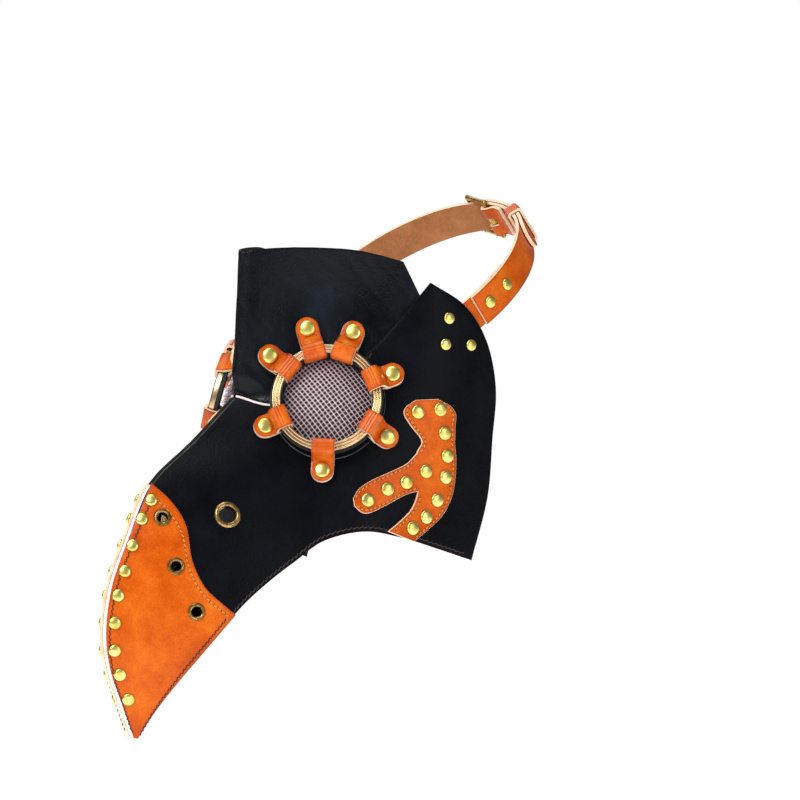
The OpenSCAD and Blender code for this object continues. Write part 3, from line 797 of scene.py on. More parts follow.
def thicken(
    name: str, bm: bmesh.types.BMesh, thickness: float, finishes: list[Finish],
    holes: bmesh.types.BMesh | None = None,
    round_mm: float = 0.6, offset: float = -1.0,
) -> bpy.types.Object:
    """Gives a sheet its thickness, holes and softened edges.

    Args:
        name: The piece's name.
        bm: The outer face, in metres.
        thickness: The leather's thickness in mm.
        finishes: The outer face's, edge's and inner face's finishes.
        holes: Cylinders to cut away.
        round_mm: The softened edge's width.
        offset: -1 grows inwards, 0 both ways.

    Returns:
        The settled piece.
    """
    mark_inset(bm)
    piece = new_piece(name, bm, finishes)
    wall = piece.modifiers.new("wall", "SOLIDIFY")
    wall.thickness = thickness * MM
    wall.offset = offset
    wall.use_even_offset = True
    wall.material_offset_rim = 1
    wall.material_offset = 2
    if holes is not None:
        cutter = new_piece(name + "_holes", holes, [finishes[1]])
        cut = piece.modifiers.new("holes", "BOOLEAN")
        cut.operation = "DIFFERENCE"
        cut.solver = "EXACT"
        cut.object = cutter
        settle(piece)
        bpy.data.objects.remove(cutter)
    soft = piece.modifiers.new("edge", "BEVEL")
    soft.width = round_mm * MM
    soft.segments = 2
    soft.material = 1
    soft.limit_method = "ANGLE"
    soft.angle_limit = math.radians(50)
    soft.use_clamp_overlap = True
    return settle(piece)


def lathe(profile: list[Pair], segments: int, place: Matrix, closed: bool, into: bmesh.types.BMesh) -> None:
    """Spins a profile round a frame's z axis.

    Args:
        profile: Radius and height pairs in mm, counter-clockwise.
        segments: Steps in the full turn.
        place: The frame in mm.
        closed: Whether the profile is a closed ring.
        into: The bmesh that takes the shape, in metres.
    """
    bm = bmesh.new()
    verts = [bm.verts.new((r, 0, h)) for r, h in profile]
    edges = [bm.edges.new(pair) for pair in zip(verts, verts[1:])]
    if closed:
        edges.append(bm.edges.new((verts[-1], verts[0])))
    bmesh.ops.spin(
        bm, geom=verts + edges, cent=(0, 0, 0), axis=(0, 0, 1), angle=math.tau, steps=segments,
        use_merge=True,
        use_duplicate=False,
    )
    bmesh.ops.remove_doubles(bm, verts=bm.verts, dist=1e-4)
    bmesh.ops.recalc_face_normals(bm, faces=bm.faces)
    bmesh.ops.transform(bm, matrix=Matrix.Scale(MM, 4) @ place, verts=bm.verts)
    scratch = bpy.data.meshes.new("scratch")
    bm.to_mesh(scratch)
    bm.free()
    into.from_mesh(scratch)
    bpy.data.meshes.remove(scratch)


def threads(name: str, paths: list[Path], radius: float, finish: Finish, sides: int = 1) -> bpy.types.Object:
    """Round cords laid along paths.

    Args:
        name: The piece's name.
        paths: Points in mm.
        radius: The cord's radius in mm.
        finish: Its finish.
        sides: The bevel resolution; each step adds four sides.

    Returns:
        The piece, as a mesh.
    """
    data = bpy.data.curves.new(name, "CURVE")
    data.dimensions = "3D"
    data.bevel_depth = radius * MM
    data.bevel_resolution = sides
    data.use_fill_caps = True
    for path in paths:
        spline = data.splines.new("POLY")
        spline.points.add(len(path) - 1)
        for point, where in zip(spline.points, path):
            point.co = (*(where * MM), 1)
    made = bpy.data.objects.new(name + "_path", data)
    bpy.context.scene.collection.objects.link(made)
    bpy.context.view_layer.update()
    mesh = bpy.data.meshes.new_from_object(made.evaluated_get(bpy.context.evaluated_depsgraph_get()))
    bpy.data.objects.remove(made)
    bm = bmesh.new()
    bm.from_mesh(mesh)
    bpy.data.meshes.remove(mesh)
    bmesh.ops.remove_doubles(bm, verts=bm.verts, dist=1e-6)
    bmesh.ops.recalc_face_normals(bm, faces=bm.faces)
    return new_piece(name, bm, [finish], 60)


@dataclass
class Stitching:
    """A row of hand stitches, each dipping into an awl hole at both ends. Sizes are in mm."""

    pitch: float = 3.1
    length: float = 2.3
    radius: float = 0.38
    slant: float = 0.35
    runs: list[Path] = field(default_factory=list)
    dots: list[Path] = field(default_factory=list)

    def row(
        self, line: Path, height: float, lift: Callable[[float, float, float], Vector] = SKIN.lift
    ) -> None:
        """Adds stitches along a line.

        Args:
            line: Points of the flat pattern.
            height: The leather's surface over the skin.
            lift: Places a point of the pattern at a height.
        """
        spots = [lift(p.x, p.y, height) for p in line]
        travel = [0.0]
        for a, b in zip(spots, spots[1:]):
            travel.append(travel[-1] + (b - a).length)
        count = max(1, round(travel[-1] / self.pitch))
        step = travel[-1] / count

        def at(distance: float, h: float, aside: float) -> Vector:
            """A point a distance along the line, h above the leather and a little aside."""
            i = min(max(bisect.bisect_right(travel, distance) - 1, 0), len(line) - 2)
            f = (distance - travel[i]) / max(travel[i + 1] - travel[i], 1e-6)
            across = (line[i + 1] - line[i]).orthogonal().normalized() * aside
            p = line[i].lerp(line[i + 1], min(max(f, 0.0), 1.0)) + across
            return lift(p.x, p.y, height + h)

        for k in range(count):
            a, b = (k + 0.5) * step - self.length / 2, (k + 0.5) * step + self.length / 2
            self.runs.append([
                at(a, -0.35, -self.slant), at(a + 0.25, 0.12, -self.slant * 0.8), at((a + b) / 2, 0.26, 0),
                at(b - 0.25, 0.12, self.slant * 0.8), at(b, -0.35, self.slant),
            ])
            for d, aside in ((a, -self.slant), (b, self.slant)):
                self.dots.append([at(d, -0.3, aside), at(d, 0.03, aside)])

    def make(self, name: str, finish: Finish) -> list[bpy.types.Object]:
        """Builds the thread and its holes as two left pieces."""
        return [
            threads(f"{name}_thread_left", self.runs, self.radius, finish),
            threads(f"{name}_awl_holes_left", self.dots, 0.52, AWL_HOLE),
        ]


def inset_line(
    line: Path, towards: Path, distance: float, first: float = 0.0, last: float = 1.0, steps: int = 60
) -> Path:
    """A line moved from one listed edge towards another.

    Args:
        line: The edge.
        towards: The edge across from it.
        distance: How far it moves, in mm.
        first: The fraction of the edge where it starts.
        last: The fraction where it ends.
        steps: How many steps it has.

    Returns:
        The moved line.
    """
    moved = []
    for i in range(steps + 1):
        f = first + (last - first) * i / steps
        a, b = fraction_along(line, f), fraction_along(towards, f)
        moved.append(a + (b - a).normalized() * distance)
    return moved


def shifted(line: Path, distance: float, steps: int = 80) -> Path:
    """A curve moved sideways, to its left for a positive distance."""
    points = curve(line, steps)
    moved = []
    for i, p in enumerate(points):
        d = (points[min(i + 1, steps)] - points[max(i - 1, 0)]).normalized()
        moved.append(p + Vector((-d.y, d.x)) * distance)
    return moved


# ---- the studio ----


@dataclass
class Studio:
    """A pale table and soft boxes, with the camera to the mask's left. Sizes are in metres."""

    aim: Vector = field(default_factory=lambda: Vector((0.0628, 0.0748, -0.0018)))
    azimuth: float = math.radians(50)
    elevation: float = math.radians(0.6)
    distance: float = 13.8
    lens: float = 1050.0
    floor_drop: float = 0.13

    def across(self) -> Vector:
        """The camera's right-hand direction."""
        return Vector((math.cos(self.azimuth), math.sin(self.azimuth), 0))

    def towards(self) -> Vector:
        """The level direction from the mask to the camera."""
        return Vector((math.sin(self.azimuth), -math.cos(self.azimuth), 0))

    def build_camera(self) -> None:
        """Places the camera."""
        camera = bpy.data.objects.new("camera", bpy.data.cameras.new("camera"))
        camera.data.lens = self.lens
        camera.data.clip_end = 50.0
        out = self.towards() * math.cos(self.elevation) + Vector((0, 0, math.sin(self.elevation)))
        camera.location = self.aim + out * self.distance
        camera.rotation_euler = out.to_track_quat("Z", "Y").to_euler()
        bpy.context.scene.collection.objects.link(camera)
        bpy.context.scene.camera = camera

    def add_light(self, name: str, right: float, front: float, up: float, size: float, watts: float) -> None:
        """Adds a soft box that faces the mask.

        Args:
            name: The light's name.
            right: Its place to the camera's right.
            front: Its place towards the camera.
            up: Its height over the mask.
            size: The side of its square.
            watts: Its power.
        """
        data = bpy.data.lights.new(name, "AREA")
        data.size = size
        data.energy = watts
        light = bpy.data.objects.new(name, data)
        way = self.across() * right + self.towards() * front + Vector((0, 0, up))
        light.location = self.aim + way
        light.rotation_euler = way.to_track_quat("Z", "Y").to_euler()
        bpy.context.scene.collection.objects.link(light)

    def build_lights(self) -> None:
        """Hangs the soft boxes and sets the pale surroundings."""
        self.add_light("key_box", -0.9, 1.4, 1.1, 0.8, 27.0)
        self.add_light("fill_box", 1.3, 1.3, 0.4, 0.9, 7.0)
        self.add_light("top_box", -0.3, 0.2, 1.6, 1.0, 12.0)
        self.add_light("back_box", -0.6, -1.6, 0.7, 1.2, 7.0)
        world = bpy.data.worlds.new("surroundings")
        world.use_nodes = True
        tree = world.node_tree
        dim = tree.nodes["Background"]
        dim.inputs["Color"].default_value = linear("#eef1f6")
        dim.inputs["Strength"].default_value = 0.22
        bright = add_node(tree, "ShaderNodeBackground", {"Color": linear("#ffffff"), "Strength": 1.0})
        seen = add_node(tree, "ShaderNodeLightPath").outputs["Is Camera Ray"]
        mixed = add_node(
            tree, "ShaderNodeMixShader", links={0: seen, 1: dim.outputs[0], 2: bright.outputs[0]}
        )
        tree.links.new(mixed.outputs[0], tree.nodes["World Output"].inputs["Surface"])
        bpy.context.scene.world = world
        bpy.context.scene.view_settings.view_transform = "Standard"

    def build_floor(self) -> None:
        """Lays the pale table under the mask."""
        bm = bmesh.new()
        bmesh.ops.create_circle(bm, cap_ends=True, segments=64, radius=6.0)
        bmesh.ops.translate(bm, verts=bm.verts, vec=(0, 0, CAD_BOX[0].z - self.floor_drop))
        mesh = bpy.data.meshes.new("table")
        bm.to_mesh(mesh)
        bm.free()
        tree, shader, where = start_material(
            "matt_white_table", {"Roughness": 0.9, "Specular IOR Level": 0.1, "Emission Strength": 0.86}
        )
        shader.inputs["Emission Color"].default_value = linear("#ffffff")
        speck = add_node(
            tree, "ShaderNodeTexNoise", {"Scale": 3.0, "Detail": 2.0}, {"Vector": where}
        ).outputs["Fac"]
        tree.links.new(ramp(tree, speck, [(0.3, "#f4f4f4"), (0.7, "#fafafa")]), shader.inputs["Base Color"])
        mesh.materials.append(bpy.data.materials["matt_white_table"])
        floor = bpy.data.objects.new("table", mesh)
        bpy.context.scene.collection.objects.link(floor)

    def build(self) -> None:
        """Builds the whole studio."""
        self.build_camera()
        self.build_lights()
        self.build_floor()


# ---- the leathers ----


@dataclass(frozen=True)
class EyeFrame:
    """The left eye's frame in mm: x outwards and back, y up, z along its axis."""

    yaw: float = math.radians(48)
    tilt: float = math.radians(15)

    def matrix(self) -> Matrix:
        """The frame's matrix."""
        axis = Vector((
            math.sin(self.yaw) * math.cos(self.tilt), -math.cos(self.yaw) * math.cos(self.tilt),
            math.sin(self.tilt)
        ))
        side = Vector((math.cos(self.yaw), math.sin(self.yaw), 0))
        turn = Matrix((side, axis.cross(side), axis)).transposed().to_4x4()
        return Matrix.Translation(SKIN.point(*EYE)) @ turn


EYE_FRAME = EyeFrame().matrix()


def drill(
    cutter: bmesh.types.BMesh, place: Matrix, radius: float, reach: float = 30.0, segments: int = 48
) -> None:
    """Adds a cylinder to a cutter.

    Args:
        cutter: The bmesh of all the cylinders, in metres.
        place: The hole's frame in mm, with z along the hole.
        radius: The hole's radius in mm.
        reach: The cylinder's half-length in mm.
        segments: Its sides.
    """
    bmesh.ops.create_cone(
        cutter, cap_ends=True, segments=segments, radius1=radius * MM, radius2=radius * MM,
        depth=2 * reach * MM,
        matrix=Matrix.Translation(place.to_translation() * MM) @ place.to_3x3().to_4x4(),
    )


@dataclass
class MaskLeathers:
    """The black leathers of the shell: two sides, the brow and the strip under the beak. In mm."""

    eye_hole: float = 28.5
    brow_low: tuple[float, ...] = (-7, -11, 0, 22, 58)
    brow_high: tuple[float, ...] = (86, 88, 88, 86, 80)
    brow_len: tuple[float, float] = (114, 102)
    nose_room: float = 1.0
    wrinkle: float = 0.55
    gusset_drop: float = 5.0
    gusset_tuck: float = 4.0

    def side_spot(self, i: float, j: float) -> Vector:
        """The side panel's pattern point, i along its length and j from its top to its lower edge."""
        top = fraction_along(TOP_BEAK, i * 1.5) if i < 2 / 3 else fraction_along(TOP_SEAM, i * 3 - 2)
        low = fraction_along(LOWER, i)
        end = TOP_SEAM[-1].lerp(LOWER[-1], j)
        return top.lerp(low, j) + (fraction_along(REAR, j) - end) * i**3

    def build_sides(self) -> None:
        """Cuts the two side panels, with their eye and nose holes."""

        def shape(i: float, j: float) -> Vector:
            """The panel's outer face."""
            p = self.side_spot(i, j)
            return SKIN.point(p.x, p.y)

        bm = cut_sheet(120, 48, shape)
        face_along(bm, lambda c: Vector((1, -0.2, 0)))
        cutter = bmesh.new()
        drill(cutter, EYE_FRAME, self.eye_hole, segments=96)
        for p in SMALL_EYELETS:
            drill(cutter, SKIN.place(*p, 0), 3.8, 8)
        drill(cutter, SKIN.place(*BIG_EYELET, 0), 6.0, 8)
        panel = thicken(
            "black_side_left", bm, SIDE_T, [BLACK_HIDE, PALE_EDGE, FLESH_SIDE, DYED_EDGE], cutter, 0.6
        )
        # Rim faces by the nose, the jaw and the beak's tip keep the pale raw edge, which along the jaw is partly
        # painted highlight; the rest take the dyed edge.
        for face in panel.data.polygons:
            at = face.center / MM
            by_nose = at.z > -12 and at.y < 36 and at.x > 3.2
            by_jaw = at.z < -70 and (panel.data.vertices[face.vertices[0]].co / MM).x > 8
            by_tip = at.z < -51 and at.x < 5
            if face.material_index == 1 and not (by_nose or by_jaw or by_tip):
                face.material_index = 3
        both(panel, Slot.BLACK, "side_panel")

    def brow_point(self, f: float, g: float) -> Vector:
        """The brow's outer face at fraction f of its half-length and g of its height."""
        a = abs(f)
        z = along(self.brow_low, 4 * a) * (1 - g) + along(self.brow_high, 4 * a) * g
        v = a * (self.brow_len[0] * (1 - g) + self.brow_len[1] * g)
        u = ridge_u(z) + v
        seam = math.exp(-((z - 6) / 26) ** 2) + 0.25
        crease = noise.fractal(Vector(((v + 0.8 * z) * 0.16, (z - 0.8 * v) * 0.035, f)), 1.0, 2.0, 3)
        q = SKIN.lift(u, z, -BROW_DROP - 0.8 * a**4 + self.wrinkle * crease * seam)
        blunt = 4.5 * math.exp(-((v / 9) ** 2)) * min(max(z / 30, 0), 1)
        forward = 3.5 * math.exp(-((v / 22) ** 2)) * min(max(1 - z / 60, 0), 1) * min(max((z - 3) / 9, 0), 1)
        x = (q.x + self.nose_room * math.exp(-v / SKIN.draw_in)) * min(a / 0.045, 1.0) ** 0.7
        return Vector((math.copysign(x, f), q.y + blunt - forward, q.z))

    def build_brow(self) -> None:
        """Cuts the brow, which runs under the side panels from temple to temple."""
        bm = cut_sheet(176, 56, lambda s, t: self.brow_point(2 * s - 1, t))
        face_along(bm, lambda c: Vector((c.x, c.y - 0.1, 0)))
        cutter = bmesh.new()
        drill(cutter, EYE_FRAME, self.eye_hole, segments=96)
        drill(cutter, Matrix.Scale(-1, 4, (1, 0, 0)) @ EYE_FRAME, self.eye_hole, segments=96)
        bmesh.ops.recalc_face_normals(cutter, faces=cutter.faces)
        brow = thicken("brow_leather", bm, BROW_T, [BROW_HIDE, DYED_EDGE, FLESH_SIDE], cutter, 0.4)
        fit(brow, Slot.BLACK, ["brow_panel"])

    def build_gusset(self) -> None:
        """Cuts the arched strip that closes the beak from below."""

        def shape(i: float, j: float) -> Vector:
            """The strip's lower face."""
            p = along(LOWER, 0.9 + 6.9 * i)
            e = SKIN.lift(p.x, p.y + self.gusset_tuck, -SIDE_T - 0.7)
            s = 1 - 2 * j
            sag = (self.gusset_drop + self.gusset_tuck) * (1 - s**4) * min(1, e.x / 12)
            return Vector((e.x * s, e.y, e.z - sag))

        bm = cut_sheet(72, 24, shape)
        face_along(bm, lambda c: Vector((0, 0.3, -1)))
        strip = thicken("under_beak_leather", bm, 1.8, [BLACK_HIDE, PALE_EDGE, FLESH_SIDE])
        fit(strip, Slot.BLACK, ["beak_gusset"])

    def build_seams(self) -> None:
        """Sews the brow's seam and the lower edge, and lays the welt, the raw edge by the nose and a pale bead along
        the ridge that is a painted highlight.
        """
        sewing = Stitching(pitch=3.4, length=2.5, radius=0.36)
        sewing.row(shifted(TOP_SEAM, -2.3, 60)[26:44], 0)
        sewing.row(inset_line(LOWER, [p + Vector((0, 20)) for p in LOWER], 2.6, 0.34, 0.98), 0)
        for piece in sewing.make("seam", BLACK_THREAD):
            both(piece, Slot.BLACK)
        welt = [along(TOP_SEAM, 1.9 * k / 150) + Vector((0.3, 2.4)) for k in range(151)]
        folds = [SKIN.lift(p.x, p.y, -2.3 + 0.35 * math.sin(k * 1.35) + 0.15 * math.sin(k * 0.53))
                 for k, p in enumerate(welt)]
        both(threads("gathered_welt_left", [folds], 1.15, BROW_HIDE, 2), Slot.BLACK)
        nose = [along(TOP_SEAM, 1.15 * k / 60) + Vector((0.6, 0.5)) for k in range(61)]
        both(
            threads("nose_raw_edge_left", [[SKIN.lift(p.x, p.y, -0.2) for p in nose]], 0.75, PALE_EDGE, 2),
            Slot.BLACK
        )
        # The grey bead along the ridge is a painted highlight on the ridge's edge.
        heights = [-1.0 - 50 * k / 60 for k in range(61)]
        ridge = [SKIN.lift(ridge_u(z) + 0.9, z, -0.12) for z in heights]
        both(threads("ridge_raw_edge_left", [ridge], 0.4, WORN_EDGE_AND_HIGHLIGHT, 2), Slot.BLACK)

    def build(self) -> None:
        """Builds the shell."""
        self.build_sides()
        self.build_brow()
        self.build_gusset()
        self.build_seams()


@dataclass
class BeakPatch:
    """The orange leather over the beak's tip on each side, edged with thread. Sizes are in mm."""

    top: Path = field(default_factory=lambda: TOP_BEAK[:7])
    low: Path = field(default_factory=lambda: LOWER[:4] + [LOWER[4].lerp(PATCH_REAR[6], 1.0)])
    thread_inset: float = 2.4

    def spot(self, i: float, j: float) -> Vector:
        """The patch's pattern point, i towards its rear edge and j down from the ridge."""
        top, low = fraction_along(TOP_BEAK[:7], i), fraction_along(self.low, i)
        end = TOP_BEAK[6].lerp(PATCH_REAR[6], j)
        return top.lerp(low, j) + (fraction_along(PATCH_REAR, j) - end) * i**2

    def build(self) -> None:
        """Cuts the patches and sews them down."""

        def shape(i: float, j: float) -> Vector:
            """The patch's outer face."""
            p = self.spot(i, j)
            return SKIN.lift(p.x, p.y, GAP + TRIM_T)

        bm = cut_sheet(84, 40, shape)
        face_along(bm, lambda c: Vector((1, -0.2, 0)))
        cutter = bmesh.new()
        for p in SMALL_EYELETS:
            drill(cutter, SKIN.place(*p, 0), 3.85, 8)
        patch = thicken(
            "orange_beak_patch_left", bm, TRIM_T, [ORANGE_HIDE, CREAM_EDGE, TAN_FLESH], cutter, 1.0
        )
        both(patch, Slot.ORANGE, "beak_patch")
        rear = Stitching(pitch=3.0, length=2.1)
        rear.row(
            [self.spot(1 - self.thread_inset / 92, 0.03 + 0.94 * k / 60) for k in range(61)], GAP + TRIM_T
        )
        for piece in rear.make("beak_rear", YELLOW_THREAD):
            both(piece, Slot.ORANGE)
        edges = Stitching(pitch=3.0, length=2.2, radius=0.33)
        edges.row([self.spot(0.03 + 0.93 * k / 90, 1 - 2.2 / 60) for k in range(91)], GAP + TRIM_T)
        edges.row([self.spot(0.03 + 0.93 * k / 90, 2.0 / 45) for k in range(91)], GAP + TRIM_T)
        for piece in edges.make("beak_edge", BROWN_THREAD):
            both(piece, Slot.ORANGE)


@dataclass
class CheekPatch:
    """The wishbone-shaped orange leather on each cheek. Sizes are in mm."""

    steps: int = 8
    thread_inset: float = 1.9
    top_round: float = 0.3

    def cut_flat(self) -> bmesh.types.BMesh:
        """Lays out the limb and its branch as one flat sheet of (u, z) points."""
        bm = bmesh.new()
        limb = bmesh.ops.create_grid(bm, x_segments=14, y_segments=9 * self.steps, size=0.5)["verts"]
        for v in limb:
            s = v.co.y + 0.5
            t = 0.5 + v.co.x * (1 - self.top_round * max(0.0, 1 - s / 0.07) ** 2)
            p = fraction_along(LIMB_FRONT, s).lerp(fraction_along(LIMB_REAR, s), t)
            v.co = (p.x, p.y, 0)
        branch = bmesh.ops.create_grid(bm, x_segments=36, y_segments=2 * self.steps, size=0.5)["verts"]
        for v in branch:
            s, t = v.co.x + 0.5, 0.5 - v.co.y
            p = fraction_along(BRANCH_TOP, s).lerp(fraction_along(BRANCH_LOW, s), t)
            join = along(LIMB_FRONT, 4 + 2 * t) - BRANCH_TOP[0].lerp(BRANCH_LOW[0], t)
            p = p + join * (1 - s) ** 4
            v.co = (p.x, p.y, 0)
        bmesh.ops.remove_doubles(bm, verts=bm.verts, dist=0.02)
        return bm

    def build(self) -> None:
        """Cuts the patches and sews them down."""
        bm = self.cut_flat()
        for v in bm.verts:
            v.co = SKIN.lift(v.co.x, v.co.y, GAP + TRIM_T) * MM
        bmesh.ops.recalc_face_normals(bm, faces=bm.faces)
        face_along(bm, lambda c: Vector((1, -0.2, 0)))
        patch = thicken(
            "orange_cheek_patch_left", bm, TRIM_T, [ORANGE_HIDE, CREAM_EDGE, TAN_FLESH], None, 0.9
        )
        both(patch, Slot.ORANGE, "cheek_patch")
        sewing = Stitching(pitch=2.9, length=2.0, radius=0.34)
        surface = GAP + TRIM_T
        inset = self.thread_inset
        sewing.row(inset_line(LIMB_FRONT, LIMB_REAR, inset, 0.04, 0.43), surface)
        sewing.row(inset_line(LIMB_FRONT, LIMB_REAR, inset, 0.7, 0.97), surface)
        sewing.row(inset_line(LIMB_REAR, LIMB_FRONT, inset, 0.03, 0.97), surface)
        sewing.row(inset_line(BRANCH_TOP, BRANCH_LOW, inset, 0.02, 0.93), surface)
        sewing.row(inset_line(BRANCH_LOW, BRANCH_TOP, inset, 0.02, 0.93), surface)
        for piece in sewing.make("cheek", YELLOW_THREAD):
            both(piece, Slot.ORANGE)


# ---- brass fittings ----


@dataclass
class BrassFittings:
    """The domed studs and rolled eyelets. Sizes are in mm."""

    shank: float = 1.5
    segments: int = 28

    def rivet(self, grip: float, r: float) -> list[Pair]:
        """The profile of a domed cap of radius r, a shank and a flat inner cap."""
        dome = [(
            r * math.cos(a), 0.5 + 1.4 * math.sin(a) ** 0.8
        ) for a in [math.radians(k) for k in range(0, 90, 15)]]
        return [(0, -grip - 0.8), (0.7 * r, -grip - 0.8), (0.75 * r, -grip - 0.6), (0.75 * r, -grip),
                (self.shank, -grip), (self.shank, 0), (0.96 * r, 0), (r, 0.15), *dome, (0, 1.95)]

    def eyelet(self, hole: float, flange: float, grip: float) -> list[Pair]:
        """The closed profile of a rolled eyelet."""
        out = hole + 0.55 + 0.1 * hole
        mid = (flange + hole) / 2
        return [(hole, -grip - 0.9), (out + 1.5, -grip - 0.9), (out + 1.5, -grip), (out, -grip), (out, 0),
                (flange, 0), (flange + 0.05, 0.25), (flange - 0.3, 0.7), (mid + 0.5, 1.15), (mid - 0.2, 1.25),
                (hole + 0.5, 1.0), (hole + 0.1, 0.6), (hole, 0.2)]

    def set_of(
        self, name: str, places: list[Matrix], profile: list[Pair], closed: bool, finish: Finish, slot: Slot,
        node: str
    ) -> None:
        """Sets one kind of fitting on both sides.

        Args:
            name: The piece's name without its side.
            places: The left side's frames in mm.
            profile: The fitting's profile.
            closed: Whether the profile is a ring.
            finish: Its brass.
            slot: The record's material slot.
            node: The CAD node's name without its side.
        """
        bm = bmesh.new()
        for place in places:
            lathe(profile, self.segments if not closed else 48, place, closed, bm)
        both(new_piece(f"{name}_left", bm, [finish]), slot, node)

    def build(self) -> None:
        """Sets the studs and eyelets on the leathers."""
        top = GAP + TRIM_T + 0.15
        long_grip = top + SIDE_T + 0.5
        for name, spots, node, cap in (
            ("beak_stud_caps", BEAK_STUDS, "beak_studs", 3.7),
            ("cheek_stud_caps", CHEEK_STUDS, "cheek_studs", 4.1),
        ):
            places, profile = [SKIN.place(*p, top) for p in spots], self.rivet(long_grip, cap)
            self.set_of(name, places, profile, False, STUD_BRASS, Slot.STUD, node)
        self.set_of(
            "small_rolled_eyelets", [SKIN.place(*p, top) for p in SMALL_EYELETS],
            self.eyelet(2.9, 5.2, top + SIDE_T + 0.3), True, EYELET_BRASS, Slot.EYELET, "small_eyelets",
        )
        self.set_of(
            "large_rolled_eyelet", [SKIN.place(*BIG_EYELET, 0.2)], self.eyelet(5.0, 8.0, SIDE_T + 0.5), True,
            EYELET_BRASS, Slot.EYELET, "large_eyelet",
        )
        self.set_of(
            "temple_stud_caps", [SKIN.place(*p, 0.15) for p in TEMPLE_RIVETS], self.rivet(SIDE_T + 5.0, 3.5),
            False,
            STUD_BRASS, Slot.STUD, "temple_rivets",
        )


# ---- eyes ----


